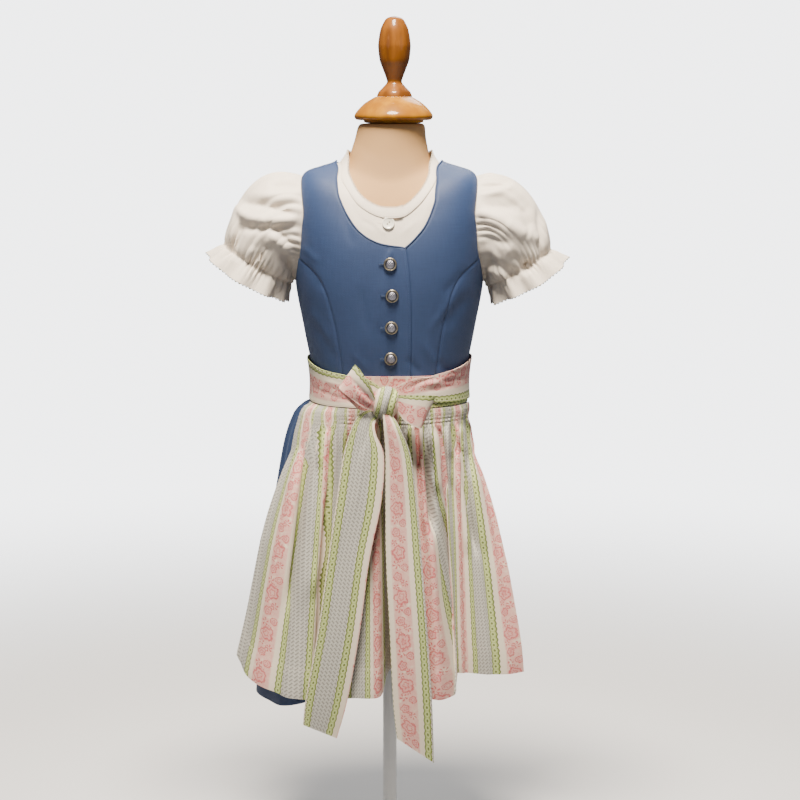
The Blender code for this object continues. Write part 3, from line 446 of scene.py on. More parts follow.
POLE_RADIUS, POLE_BOTTOM_Z, POLE_TOP_Z = 8.0, 30.3, 440.4
BASE_PROFILE = [
    (0, 30), (15, 30), (18, 28), (20, 19), (24, 16.5), (124, 12.5), (129, 10.5), (130, 7.5),
    (130, 1.5), (128.5, 0), (0, 0),
]
POLE_PROFILE = [
    (0.0, POLE_TOP_Z), (POLE_RADIUS, POLE_TOP_Z), (POLE_RADIUS, POLE_BOTTOM_Z), (0.0, POLE_BOTTOM_Z)
]
paint, paint_shader = new_material("stand_paint", Roughness=0.42, Coat_Weight=0.2)
peel = noise(paint, 500, detail=2.0)
scuff = noise(paint, 35, detail=6.0).above(0.62, 0.80) * 0.4
finish(paint_shader, coloured(scuff, (0.84, 0.83, 0.81), (0.70, 0.69, 0.67)), peel, 0.06)
stands_for(turned("pole_tube", POLE_PROFILE, paint, sharp=30.0), "stand_paint", "stand_pole")
stands_for(turned("base_foot", BASE_PROFILE, paint, sharp=30.0), "stand_paint", "stand_base")

# ---- The blouse ------------------------------------------------------------------------------
# A short blouse of fine cream cotton, with a round neck in a narrow band. The band laps at the
# centre front over one shell button, and a tiny lace edging is sewn along its top.

BLOUSE_OFF, BLOUSE_CLOTH, BLOUSE_HEM_LEVEL = 0.9, 1.0, 4.0
NECKBAND_OFF, NECKBAND_CLOTH, NECKBAND_LEVELS = 2.3, 1.0, (-0.06, 0.78)
NECKBAND_ROUNDING = 0.35
NECKBAND_LAP_ANGLE, NECKBAND_LAP_RISE = -77.5, 1.9
NECKBAND_LAP_START, NECKBAND_LAP_FULL = 22.0, 10.0
SEAM_DEG, SEAM_LEVEL, TOP_SHAPE_FADE = 0.12, 0.004, 3
ARMHOLE_BY_DEVIATION = [
    (0, 8.9), (16, 8.35), (26, 7.32), (26, 6.5), (24, 5.85), (15, 5.25), (0, 4.95), (-15, 5.25),
    (-24, 5.85), (-26, 6.5), (-26, 7.32), (-16, 8.35),
]
ARMHOLE_CENTRE_LEVEL, ARMHOLE_UNDERARM, ARMHOLE_SEAM_LEVEL = 6.9, 6, 5.72
BLOUSE_NECK = [
    (-180, 11.75), (-158.5, 11.45), (-143.5, 10.5), (-129.5, 9.6), (-117.5, 8.72), (-105, 8.28),
    (-92, 8.1), (-77.5, 8.1), (-65, 8.62), (-52.5, 9.45), (-40, 10.3), (-26, 11.2), (0, 11.75),
]
BLOUSE_NECK_BACK = [(0, 11.75), (45, 11.5), (90, 11.4), (135, 11.5), (180, 11.75)]
TORSO_CUT_RADIUS = 90.0
COTTON_THREAD, CREASE_ENDS = 0.42, (-0.2, 1.2, 0.45, 0.45)
CREAM = (0.84, 0.745, 0.63)


def run_along(points):
    """How far along a line each of its points is."""
    return np.concatenate([[0], np.cumsum(np.linalg.norm(np.diff(points, axis=0), axis=1))])


def spaced(line, count):
    """A line of (angle, level) places made smooth and cut into even steps along the form."""
    fine = spline(line, np.linspace(0, len(line) - 1, 24 * (len(line) - 1) + 1))
    run = run_along(on_torso(fine[:, 0], fine[:, 1]))
    at = np.linspace(0, run[-1], count + 1)
    return np.stack([np.interp(at, run, fine[:, k]) for k in (0, 1)], -1)


def joined(*lines):
    return np.concatenate([lines[0]] + [line[1:] for line in lines[1:]])


def patch(top, left, right):
    """Places (angle, level) inside a left, a right and a top edge that share their corners, over a
    straight bottom. The top edge's own shape fades out quickly below it."""
    u = np.linspace(0, 1, len(top))[:, None, None]
    v = np.linspace(0, 1, len(left))[None, :, None]
    across = (1 - u) * left[None] + u * right[None]
    shape = top[:, None] - (1 - u) * top[0] - u * top[-1]
    return across + shape * v**TOP_SHAPE_FADE


def armhole_half(side, half):
    """One armhole edge from the underarm to the shoulder: side -1 or 1, half 'front' or 'back'."""
    if half == "front":
        places = ARMHOLE_BY_DEVIATION[ARMHOLE_UNDERARM::-1]
    else:
        places = ARMHOLE_BY_DEVIATION[ARMHOLE_UNDERARM:] + [ARMHOLE_BY_DEVIATION[0]]
    wearer_right = -180 if half == "front" else 180
    return [(wearer_right + dev if side < 0 else -dev, level) for dev, level in places]


def body_panel(half, neck, bottom_level, across, up):
    """A whole front or back: side seams, armholes, shoulders and a neckline in one grid."""
    first, last = (-180 + SEAM_DEG, -SEAM_DEG) if half == "front" else (SEAM_DEG, 180 - SEAM_DEG)
    sides = (-1, 1) if half == "front" else (1, -1)
    edges = []
    for side, angle in zip(sides, (first, last)):
        line = armhole_half(side, half)
        hole = joined(spaced(line[:3], up[1]), spaced(line[2:], up[2]))
        hole[0, 0] = hole[-1, 0] = angle
        edges.append(joined(spaced([(angle, bottom_level), tuple(hole[0])], up[0]), hole))
    left, right = edges
    neckline = spaced(neck, across[1])
    neckline[0, 0], neckline[-1, 0] = first, last
    shoulders = ([left[-1], neckline[0]], [neckline[-1], right[-1]])
    first, last = (spaced(ends, across[0]) for ends in shoulders)
    return patch(joined(first, neckline, last), left, right)


def grid_normals(grid, closed=False):
    """Unit normals of a grid of points that runs round and then up."""
    if closed:
        round_it = np.roll(grid, -1, 0) - np.roll(grid, 1, 0)
    else:
        round_it = np.gradient(grid, axis=0)
    normal = np.cross(round_it, np.gradient(grid, axis=1))
    return normal / np.maximum(np.linalg.norm(normal, axis=-1, keepdims=True), 1e-9)


def cloth(name, grid, thickness, cut, material, node, closed=False):
    """A closed wall of cloth on the outer side of a grid of points in mm, in the place of a CAD
    node. cut holds each point's place on the flat piece, in mm, and has one column more than the
    grid on a closed tube."""
    columns, rows = grid.shape[:2]
    outer = grid + thickness * grid_normals(grid, closed)
    inside = numbered(columns, rows, closed)
    outside = inside + columns * rows
    spot = numbered(cut.shape[0], rows)
    faces, places = [quads(outside), quads(inside)[:, ::-1]], [quads(spot), quads(spot)[:, ::-1]]
    rims = [np.s_[:, 0], np.s_[::-1, -1]] + ([] if closed else [np.s_[0, ::-1], np.s_[-1]])
    for rim in rims:
        near, far, edge = inside[rim], outside[rim], spot[rim]
        faces.append(np.stack([near[:-1], near[1:], far[1:], far[:-1]], -1))
        places.append(np.stack([edge[:-1], edge[1:], edge[1:], edge[:-1]], -1))
    points = np.concatenate([grid.reshape(-1, 3), outer.reshape(-1, 3)])
    corners = at_corners(cut, np.concatenate(places)) * MM
    made = add_piece(name, points, np.concatenate(faces).tolist(), material, corners)
    return stands_for(made, material.name.split(".")[0], node)


def over_torso(places, off=0.0):
    return on_torso(places[..., 0], places[..., 1], off)


def torso_cut(places):
    return paired(np.radians(places[..., 0]) * TORSO_CUT_RADIUS, over_torso(places)[..., 2])


def from_line(grid, x1, z1, x2, z2):
    """How far along a line a grid's points lie, as a share of it, and how far beside it, in mm."""
    run = np.array([x2 - x1, z2 - z1])
    length = np.hypot(*run)
    away = grid[..., (0, 2)] - (x1, z1)
    return away @ run / length**2, away @ (run[1], -run[0]) / length


def bell(distance, reach):
    """1 on the spot, falling softly to nothing at about twice the reach."""
    return np.exp(-((distance / reach) ** 2))


def tapered(along, first, last, fade_in, fade_out):
    """1 along a line and 0 beyond it. It fades in from the first place and out to the last."""
    return eased_step((along - first) / fade_in) * eased_step((last - along) / fade_out)


def creased(grid, creases, closed=False, facing=-1.0):
    """Moves a grid along its normals by soft ridges and troughs. Each crease is x1, z1, x2, z2,
    width and height, seen from the front (facing -1) or from the back (facing 1)."""
    normal = grid_normals(grid, closed)
    shown = np.clip(normal[..., 1] * facing * 1.6, 0, 1) ** 0.7
    lift = np.zeros(grid.shape[:2])
    for *line, width, height in creases:
        along, across = from_line(grid, *line)
        lift += height * bell(across, width) * tapered(along, *CREASE_ENDS)
    return grid + (lift * shown)[..., None] * normal


def woven(material, thread=COTTON_THREAD):
    """The height of a plain weave, over one thread and under the next."""
    across, along = (term * (math.pi / thread) for term in cut_terms(material))
    return across.of("SINE") * along.of("SINE")


def plain_cotton(name, colour, shade, thread, **look):
    """Cotton dyed one colour: an even weave, slubs along its threads and soft blotches."""
    made, shader = new_material(name, **look)
    slub = noise(made, 900, stretch=(1.0, 0.06, 1.0), detail=2.0, on_cut=True)
    slub_across = noise(made, 900, stretch=(0.06, 1.0, 1.0), detail=2.0, on_cut=True)
    mottle = (slub + slub_across) * 0.35 + noise(made, 14, detail=4.0, on_cut=True) * 0.3
    tone = coloured(mottle.above(0.38, 0.62), shade, colour)
    finish(shader, tone, woven(made, thread) + slub * 1.2, 0.06)
    return made


cream_cotton = plain_cotton(
    "cream_cotton", CREAM, tuple(0.93 * part for part in CREAM), COTTON_THREAD,
    Roughness=0.62, Sheen_Weight=0.25, Sheen_Roughness=0.4,
)
BLOUSE_PLACKET_ANGLE, BLOUSE_PLACKET_RISE, BLOUSE_PLACKET_EASE = -77.5, 0.5, 0.6
BLOUSE_CREASES = [
    (-16, 752, -4, 741, 2, 0.5), (-30, 756, -14, 748, 2.4, -0.4), (16, 742, 30, 756, 3, 0.5),
    (-44, 770, -36, 748, 3.5, 0.5), (44, 776, 34, 750, 3.5, 0.5),
]
for half, neck in (("front", BLOUSE_NECK), ("back", BLOUSE_NECK_BACK)):
    places = body_panel(half, neck, BLOUSE_HEM_LEVEL, (15, 90), (8, 24, 32))
    grid = over_torso(places, BLOUSE_OFF)
    if half == "front":
        lap = eased_step((BLOUSE_PLACKET_ANGLE - places[..., 0]) / BLOUSE_PLACKET_EASE)
        grid = creased(over_torso(places, BLOUSE_OFF + BLOUSE_PLACKET_RISE * lap), BLOUSE_CREASES)
    cut = torso_cut(places)
    piece = cloth(f"blouse_{half}_panel", grid, BLOUSE_CLOTH, cut, cream_cotton, f"blouse_{half}")

line = spaced(BLOUSE_NECK, 130)
lap_at = int(np.argmin(np.abs(line[:, 0] - NECKBAND_LAP_ANGLE)))
line = np.concatenate([
    line[lap_at - 3:], spaced(BLOUSE_NECK_BACK, 60)[1:], line[1:lap_at + 1] + (360, 0)
])
rise = np.linspace(0, 1, 9)
level = NECKBAND_LEVELS[0] + (NECKBAND_LEVELS[1] - NECKBAND_LEVELS[0]) * rise
places = paired(line[:, :1], line[:, 1:] + level[None, :])
lap = NECKBAND_LAP_START - (line[-1, 0] - places[..., 0])
off = NECKBAND_OFF + NECKBAND_LAP_RISE * eased_step(lap / (NECKBAND_LAP_START - NECKBAND_LAP_FULL))
neckband_grid = over_torso(places, off + NECKBAND_ROUNDING * np.sin(math.pi * rise)[None, :])
neckband = cloth(
    "blouse_neck_band", neckband_grid, NECKBAND_CLOTH, torso_cut(places), cream_cotton,
    "blouse_neckband",
)

# ---- Sewing thread and lace edging -----------------------------------------------------------
# Rows of machine stitches hold the bands and hems, and a picot edging, a cord with a small loop
# every few millimetres, is sewn to the neckband's top and to the sleeves' frills.

THREAD_OFF, STITCH_OFF, LACE_SINK, LACE_RISE = 0.15, 0.1, 0.5, 0.5


def geometry_tree(name, words):
    """A Geometry Nodes tree with named number inputs and a thread, its input and its output."""
    tree = bpy.data.node_groups.new(name, "GeometryNodeTree")
    numbers = [(word, "Float") for word in words]
    sockets = [("Geometry", "Geometry"), *numbers, ("Thread", "Material")]
    for word, kind in sockets:
        tree.interface.new_socket(word, in_out="INPUT", socket_type="NodeSocket" + kind)
    tree.interface.new_socket("Geometry", in_out="OUTPUT", socket_type="NodeSocketGeometry")
    return tree, wired(tree, "NodeGroupInput"), tree.nodes.new("NodeGroupOutput")


def copy_along(tree, given, result, shape):
    """Copies of a shape at even steps along each path, X along the path and Z outwards."""
    curve = wired(tree, "GeometryNodeMeshToCurve", {"Mesh": given["Geometry"]})["Curve"]
    steps = {"Curve": curve, "Length": given["Spacing"]}
    even = wired(tree, "GeometryNodeResampleCurve", steps, mode="LENGTH")["Curve"]
    outward = wired(
        tree, "GeometryNodeInputNamedAttribute", {"Name": "outward"}, data_type="FLOAT_VECTOR"
    )[0]
    upright = wired(tree, "FunctionNodeAlignRotationToVector", {"Vector": outward}, axis="Z")[0]
    heading = {"Rotation": upright, "Vector": wired(tree, "GeometryNodeInputTangent")[0]}
    turn = wired(tree, "FunctionNodeAlignRotationToVector", heading, axis="X", pivot_axis="Z")[0]
    laid = {"Points": even, "Instance": shape, "Rotation": turn}
    copies = wired(tree, "GeometryNodeInstanceOnPoints", laid)["Instances"]
    real = wired(tree, "GeometryNodeRealizeInstances", {"Geometry": copies})[0]
    smooth = wired(tree, "GeometryNodeSetShadeSmooth", {"Geometry": real})[0]
    dressed = {"Geometry": smooth, "Material": given["Thread"]}
    feed(result, {"Geometry": wired(tree, "GeometryNodeSetMaterial", dressed)[0]})


stitch_tree, given, result = geometry_tree("stitch_row", ("Spacing", "Length", "Width", "Height"))
bead = wired(stitch_tree, "GeometryNodeMeshIcoSphere", {"Radius": 0.5, "Subdivisions": 1})["Mesh"]
size = {"X": given["Length"], "Y": given["Width"], "Z": given["Height"]}
size = wired(stitch_tree, "ShaderNodeCombineXYZ", size)[0]
stitch = wired(stitch_tree, "GeometryNodeTransform", {"Geometry": bead, "Scale": size})[0]
copy_along(stitch_tree, given, result, stitch)

picot_tree, given, result = geometry_tree("picot_edging", ("Spacing", "Length", "Radius"))
circle = "GeometryNodeCurvePrimitiveCircle"
loop, thread_round = (
    wired(picot_tree, circle, {"Resolution": sides, "Radius": given[word]})[0]
    for sides, word in ((8, "Length"), (4, "Radius"))
)
bent_thread = {"Curve": loop, "Profile Curve": thread_round}
loop = wired(picot_tree, "GeometryNodeCurveToMesh", bent_thread)[0]
copy_along(picot_tree, given, result, loop)


def along_paths(name, tree, paths, sizes, thread, slot):
    """Runs one of the trees along paths, each a pair of points and outward directions, in mm."""
    points = np.concatenate([path for path, outward in paths])
    outwards = np.concatenate([np.broadcast_to(outward, path.shape) for path, outward in paths])
    edges, first = [], 0
    for path, outward in paths:
        edges += [(first + k, first + k + 1) for k in range(len(path) - 1)]
        first += len(path)
    mesh = bpy.data.meshes.new(name)
    mesh.from_pydata((points * MM).tolist(), edges, [])
    outward = mesh.attributes.new("outward", "FLOAT_VECTOR", "POINT")
    outward.data.foreach_set("vector", np.asarray(outwards, np.float32).reshape(-1))
    carrier = placed(name + "_path", mesh)
    grown = carrier.modifiers.new("grown", "NODES")
    grown.node_group = tree
    values = {"Thread": thread, **{word: size * MM for word, size in sizes.items()}}
    for item in tree.interface.items_tree:
        if item.in_out == "INPUT" and item.name in values:
            grown[item.identifier] = values[item.name]
    graph = bpy.context.evaluated_depsgraph_get()
    plain = bpy.data.meshes.new_from_object(carrier.evaluated_get(graph))
    bpy.data.objects.remove(carrier, do_unlink=True)
    return stands_for(placed(name, plain), slot)


def stitches(name, paths, thread, slot, spacing=2.6, length=1.9, width=0.45, height=0.4):
    sizes = {"Spacing": spacing, "Length": length, "Width": width, "Height": height}
    return along_paths(name, stitch_tree, paths, sizes, thread, slot)


def picots(name, paths, thread, slot, spacing=2.3, loop_radius=0.95, thread_radius=0.28):
    sizes = {"Spacing": spacing, "Length": loop_radius, "Radius": thread_radius}
    return along_paths(name, picot_tree, paths, sizes, thread, slot)


def sewing_line(grid, where, off):
    """A part of a grid for thread to follow, off its face, with its outward directions."""
    outward = grid_normals(grid)[where]
    return grid[where] + off * outward, outward


def thread_material(name, colour):
    made, shader = new_material(name, Base_Color=(*colour, 1), Roughness=0.55, Sheen_Weight=0.03)
    twist = noise(made, 1600, detail=1.0)
    finish(shader, coloured(twist, tuple(0.8 * part for part in colour), colour), twist, 0.05)
    return made


cream_thread = thread_material("cream_thread", (0.80, 0.70, 0.58))
green_thread = thread_material("green_thread", (0.10, 0.13, 0.06))
neckband_off = NECKBAND_CLOTH + THREAD_OFF
edge, outward = sewing_line(neckband_grid, np.s_[:, -1], neckband_off)
lace = edge - LACE_SINK * outward + (0, 0, LACE_RISE)
picots("neckband_lace", [(lace, outward)], cream_thread, "cream_cotton")
stitches(
    "neckband_dots", [(lace + LACE_SINK * outward, outward)], green_thread, "cream_cotton",
    spacing=5.6, length=1.1, width=1.1, height=0.8,
)
lines = (np.s_[:, 1], np.s_[:, 7], np.s_[-2, 1:8])
lines = [sewing_line(neckband_grid, line, neckband_off) for line in lines]
stitches("neckband_stitches", lines, cream_thread, "cream_cotton")

# ---- The shell button ------------------------------------------------------------------------
# One two-hole button of pearly shell, sewn through with cream thread, with a worked buttonhole
# beside it in the lapped edge of the blouse.

SHELL_BUTTON = (-90.5, 7.66)
SHELL_PROFILE = [(0, 1.4), (4.8, 1.5), (6.0, 2.0), (6.8, 1.5), (6.8, 0.6), (6.2, 0.0), (0, 0.0)]
SHELL_HOLE_FROM_CENTRE, SHELL_HOLE_EDGE, SHELL_BUTTON_OFF = 1.5, (0.65, 0.95), 0.8


def lying(piece, place, off):
    """Lays a piece made about the Z axis at the origin on the torso, facing outwards."""
    face = torso_normal(*place)
    across = unit(np.cross((0, 0, 1), face))
    points = np.empty(len(piece.data.vertices) * 3)
    piece.data.vertices.foreach_get("co", points)
    points = points.reshape(-1, 3) @ np.array([across, np.cross(face, across), face])
    piece.data.vertices.foreach_set("co", (points + on_torso(*place, off) * MM).reshape(-1))
    piece.data.update()
    return piece


pearl, pearl_shader = new_material("shell", Roughness=0.22, Coat_Weight=0.6, Coat_Roughness=0.1)
wave = noise(pearl, 260, stretch=(1.0, 1.0, 0.3), detail=4.0)
u, v = cut_terms(pearl)
along, across = ((u + v) * 0.7).of("ABSOLUTE") - SHELL_HOLE_FROM_CENTRE, (u - v) * 0.7
# The two holes are painted near black with a sunken bump: painted shade in the holes.
hole = (along * along + across * across).of("SQRT").below(*SHELL_HOLE_EDGE)
tone = coloured(hole, coloured(wave, (0.66, 0.63, 0.52), (0.95, 0.91, 0.83)), (0.09, 0.07, 0.05))
finish(pearl_shader, tone, wave - hole * 3.0, 0.08)
shell_button = turned("blouse_shell_button", SHELL_PROFILE, pearl, soft=(1, 5))
lying(shell_button, SHELL_BUTTON, BLOUSE_OFF + BLOUSE_CLOTH + SHELL_BUTTON_OFF)
stands_for(shell_button, "shell", "blouse_button")
centre = on_torso(*SHELL_BUTTON, BLOUSE_OFF + BLOUSE_CLOTH + BLOUSE_PLACKET_RISE + STITCH_OFF)
outward = torso_normal(*SHELL_BUTTON)
sides = [(centre + [(-12.5, 0.3, rise), (-5.5, 0, rise)], outward) for rise in (-0.7, 0.7)]
stitches(
    "shell_buttonhole", sides, cream_thread, "cream_cotton",
    spacing=0.6, length=0.5, width=1.2, height=0.6,
)

# ---- The sleeves -----------------------------------------------------------------------------
# Short puffed sleeves of the same cream cotton, gathered into the armholes. Elastic thread draws
# them in above the elbow, and below it a frill stands out, edged with dark green picots.

SLEEVE_CLOTH = 1.0
SLEEVES = {
    "r": (-1, 148.5, -3.0, 703.0, 42.5, 39.0, 55.0, 0.42, 16.0),
    "l": (1, 146.5, -3.0, 699.0, 40.0, 38.0, 53.0, 0.30, 19.0),
}
CUFF_TILT = 30.0
SLEEVE_ROOT_SCALE, SLEEVE_ROOT_OFF = 0.94, 1.5
SLEEVE_SPREAD = 0.35
HEAD_OUTWARD, HEAD_ARRIVE = 0.95, 46.0
FRONT_REACH, UNDER_REACH = (30.0, 26.0, 14.0), (6.0, 7.0, 1.0)
FRILL_LENGTH, FRILL_FLARE, FRILL_LIFT = 25.0, 5.0, 5.5
FRILL_WAVE, FRILL_WAVES, FRILL_TURN = 3.2, 9, 0.6
FRILL_EDGE_OFF, FRILL_EDGE_DROP, FRILL_SHORTER_OVER, FRILL_SHORTER_UNDER = 0.5, 0.4, 0.26, 0.2
HEAD_GATHER_DEPTH, HEAD_GATHER_MORE, HEAD_GATHER_REACH, HEAD_GATHER_RISE = 0.8, 2.4, 0.14, 12
CUFF_GATHERS, CUFF_GATHER_DEPTH, CUFF_FINE_DEPTH, FRILL_FINE_DEPTH = 12, 1.8, 2.3, 2.1
FINE_GATHERS, HEAD_GATHERS, SOFT_FOLDS, SOFT_FOLD_DEPTH = 41, 29, 13, 0.9
ELASTIC_ROWS, ELASTIC_PITCH, ELASTIC_DEPTH = 2, 3.0, 0.5
PINCH_DEPTH, PINCH_REACH = 2.0, 5.0
SLEEVE_COLUMNS, PUFF_ROWS, FRILL_ROWS = 216, 72, 24
SLEEVE_FLAT_WIDTH = 420.0
elastic_rows = [
    PUFF_ROWS - 1 + (k - (ELASTIC_ROWS - 1) / 2) * ELASTIC_PITCH * FRILL_ROWS / FRILL_LENGTH
    for k in range(ELASTIC_ROWS)
]


def uneven(turn, count, seed):
    """About count fine folds in a full turn, no two alike."""
    drift = 1.3 * np.sin(3 * turn + seed) + 0.9 * np.sin(5 * turn + 2.1 * seed)
    height = 0.62 + 0.38 * np.sin(7 * turn + 1.7 * seed)
    return height * np.cos(count * turn + 2 * drift)


def sleeve_grid(side, cuff_x, cuff_y, cuff_z, long_radius, deep_radius, *head, seed):
    """Points of one sleeve's inner face, round it and along it from the armhole to the frill.
    head is how far the sleeve's head reaches out, how far it lifts and how much it swells."""
    turn = np.linspace(0, 2 * math.pi, SLEEVE_COLUMNS, endpoint=False)
    loop = spaced(ARMHOLE_BY_DEVIATION + [ARMHOLE_BY_DEVIATION[0]], SLEEVE_COLUMNS)[:-1]
    deviation = loop[:, 0] * SLEEVE_ROOT_SCALE
    level = ARMHOLE_CENTRE_LEVEL + (loop[:, 1] - ARMHOLE_CENTRE_LEVEL) * SLEEVE_ROOT_SCALE
    root = on_torso(-180 + deviation if side < 0 else -deviation, level, SLEEVE_ROOT_OFF)
    tilt = math.radians(CUFF_TILT)
    axis = np.array([side * math.sin(tilt), 0, -math.cos(tilt)])
    outward = np.array([side * math.cos(tilt), 0, math.sin(tilt)])
    forward = np.array([0, -1.0, 0])
    over_arm, to_front = np.cos(turn)[:, None], np.sin(turn)[:, None]
    radial = over_arm * outward + to_front * forward
    centre = np.array([side * cuff_x, cuff_y, cuff_z])
    cuff = centre + over_arm * long_radius * outward + to_front * deep_radius * forward
    over, flank = (1 + np.cos(turn)) / 2, np.sin(turn) ** 2
    head_reach, head_lift, swell_over = head
    reaches = zip((head_reach, HEAD_ARRIVE, swell_over), FRONT_REACH, UNDER_REACH)
    first, second, swell = (
        (1 - flank) * (under + (top - under) * over) + flank * front
        for top, front, under in reaches
    )
    spread = SLEEVE_SPREAD * first * flank * np.sign(np.sin(turn))
    leave = root + first[:, None] * (side * HEAD_OUTWARD, 0, head_lift) + spread[:, None] * forward
    arrive = cuff - second[:, None] * axis + swell[:, None] * radial
    head, fine = uneven(turn, HEAD_GATHERS, seed), uneven(turn, FINE_GATHERS, seed + 1)
    soft, even = uneven(turn, SOFT_FOLDS, seed + 2), CUFF_GATHER_DEPTH * np.cos(CUFF_GATHERS * turn)
    rows = []
    for t in np.linspace(0, 1, PUFF_ROWS):
        near, far = (1 - t) ** 3 * root + 3 * (1 - t) ** 2 * t * leave, 3 * (1 - t) * t**2 * arrive
        gather = CUFF_GATHER_DEPTH * t**5 * np.cos(CUFF_GATHERS * turn)
        gather = gather + CUFF_FINE_DEPTH * t**6 * fine
        depth = (HEAD_GATHER_DEPTH + HEAD_GATHER_MORE * over) * head
        gather = gather + depth * t * math.exp(-t / HEAD_GATHER_REACH) * HEAD_GATHER_RISE
        gather = gather + SOFT_FOLD_DEPTH * soft * math.sin(math.pi * t) ** 2
        rows.append(near + far + t**3 * cuff + gather[:, None] * radial)
    flute = np.cos(FRILL_WAVES * turn + FRILL_TURN + 0.5 * np.sin(2 * turn + seed))
    flute = flute + 0.3 * np.sin(4 * turn + seed)
    shorter = FRILL_SHORTER_OVER * over**6, FRILL_SHORTER_UNDER * (1 - over) ** 2
    length = FRILL_LENGTH * (1 - shorter[0] - shorter[1])
    for t in np.linspace(0, 1, FRILL_ROWS + 1)[1:]:
        wave = (FRILL_FLARE + FRILL_LIFT * over**6) * t + FRILL_WAVE * t * flute
        wave = wave + (1 - t) ** 1.6 * (even + FRILL_FINE_DEPTH * fine)
        rows.append(cuff + (length * t)[:, None] * axis + wave[:, None] * radial)
    grid = np.stack(rows, 1)
    from_cuff = np.linalg.norm(grid - grid[:, PUFF_ROWS - 1:PUFF_ROWS], axis=-1).mean(axis=0)
    draw_in = PINCH_DEPTH * bell(from_cuff, PINCH_REACH)
    grid = grid - draw_in[None, :, None] * radial[:, None]
    for row in elastic_rows:
        draw_in = ELASTIC_DEPTH * bell(np.arange(grid.shape[1]) - row, 1)
        grid = grid - draw_in[None, :, None] * radial[:, None]
    return grid[::-1] if side < 0 else grid


SLEEVE_CREASES = {
    "r": [
        (-130, 791, -100, 788, 5, -3.2), (-143, 779, -98, 784, 5, 3.4),
        (-167, 774, -136, 771, 6.2, -4.6), (-136, 771, -107, 762, 6.2, -4.4),
        (-170, 768, -158, 757, 5, 3.8), (-158, 757, -136, 754, 5.4, 4.2),
        (-136, 754, -107, 756, 5.4, 4), (-162, 746, -108, 747, 4.8, -4),
        (-132, 740, -109, 719, 5.5, 3.6), (-126, 745, -108, 730, 3, -1.8),
        (-134, 728, -146, 708, 6, -4), (-171, 766, -175, 730, 4.5, 3),
        (-163, 750, -173, 722, 4, -3.4), (-150, 724, -160, 706, 3.4, 2.2),
        (-120, 714, -106, 702, 5, -2.6), (-118, 800, -102, 799, 3.4, 1.8),
    ],
    "l": [
        (101, 788, 134, 794, 5, -3.2), (100, 780, 135, 790, 3.8, 3.2),
        (104, 772, 152, 769, 8, -4.8), (150, 768, 157, 746, 6.5, -3.2),
        (101, 764, 126, 752, 6.5, 4), (126, 752, 152, 737, 7, 4.6), (152, 737, 166, 733, 6, 3),
        (108, 735, 133, 729, 5, -2.4), (134, 716, 156, 700, 6.5, -3.8),
        (109, 711, 143, 696, 4.5, -3.2), (110, 701, 132, 688, 4.5, 2.4),
        (166, 767, 167, 718, 3.2, -2.8), (173, 757, 173, 717, 4, 2.6),
        (104, 802, 120, 806, 3.4, 1.8),
    ],
}


def mirrored_behind(creases):
    """Like creases for the side that is hidden: shifted, and a little weaker."""
    return [(x1 * 0.98, z1 - 7, x2 * 1.02, z2 + 2, 1.15 * width, 0.85 * height)
            for x1, z1, x2, z2, width, height in creases]


def run_up(grid):
    """The mean distance of each row of a grid from its first one."""
    steps = np.linalg.norm(np.diff(grid, axis=1), axis=-1).mean(axis=0)
    return np.concatenate([[0], np.cumsum(steps)])


cuff_edges, cuff_rows = [], []
for word, seed in (("r", 0.9), ("l", 2.3)):
    grid = sleeve_grid(*SLEEVES[word], seed=seed)
    grid = creased(grid, SLEEVE_CREASES[word], closed=True)
    grid = creased(grid, mirrored_behind(SLEEVE_CREASES[word]), closed=True, facing=1.0)
    across = np.linspace(0, SLEEVE_FLAT_WIDTH, SLEEVE_COLUMNS + 1)
    cut = paired(across[:, None], run_up(grid)[None, :])
    sleeve = cloth(
        f"sleeve_puff_{word}", grid, SLEEVE_CLOTH, cut, cream_cotton, f"sleeve_{word}", closed=True
    )
    outward = grid_normals(grid, closed=True)
    ring = np.arange(SLEEVE_COLUMNS + 1) % SLEEVE_COLUMNS
    edge = grid[:, -1] + FRILL_EDGE_OFF * outward[:, -1]
    edge = edge + FRILL_EDGE_DROP * unit(grid[:, -1] - grid[:, -2])
    cuff_edges.append((edge[ring], outward[ring, -1]))
    for row in np.round(elastic_rows).astype(int):
        path = grid[ring, row] + (SLEEVE_CLOTH + STITCH_OFF) * outward[ring, row]
        cuff_rows.append((path, outward[ring, row]))
picots(
    "frill_picots", cuff_edges, green_thread, "cream_cotton",
    spacing=4.6, loop_radius=0.85, thread_radius=0.45,
)
stitches(
    "frill_overlock", cuff_edges, cream_thread, "cream_cotton",
    spacing=1.7, length=1.5, width=0.9, height=1.3,
)
stitches("cuff_elastic", cuff_rows, cream_thread, "cream_cotton")

# ---- The bodice ------------------------------------------------------------------------------
# A fitted, lined bodice of blue cotton in five panels. Their seams are pressed open, the right
# front laps over the left one down to the waist, and the neckline is bound and stitched.

BODICE_OFF, BODICE_CLOTH = 3.65, 1.4
SHOULDER_RISE, SHOULDER_LEVELS = 0.9, (7.0, 9.0)
PLACKET_RISE, PLACKET_RUN = 1.1, 16.0
WAIST_LEVEL = 2.87
BODICE_NECK_RIGHT = [
    (-77, 6.3), (-80.5, 6.38), (-99.5, 6.56), (-113.5, 6.94), (-123.5, 7.6), (-131.5, 8.48),
    (-139.5, 9.52), (-155.5, 10.82), (-180, 11.2),
]
BODICE_NECK_LEFT = [
    (-76.85, 6.34), (-69, 6.68), (-60, 7.26), (-52, 8.26), (-45.5, 9.44), (-28, 11), (0, 11.2),
]
BODICE_NECK_BACK = [
    (0, 11.2), (30, 10.6), (60, 9.6), (90, 9.2), (120, 9.6), (150, 10.6), (180, 11.2),
]
PRINCESS_SEAM_RIGHT = [
    (-129, WAIST_LEVEL), (-131, 4.0), (-134.5, 4.74), (-136, 4.94), (-140, 5.26), (-146.5, 5.52),
]
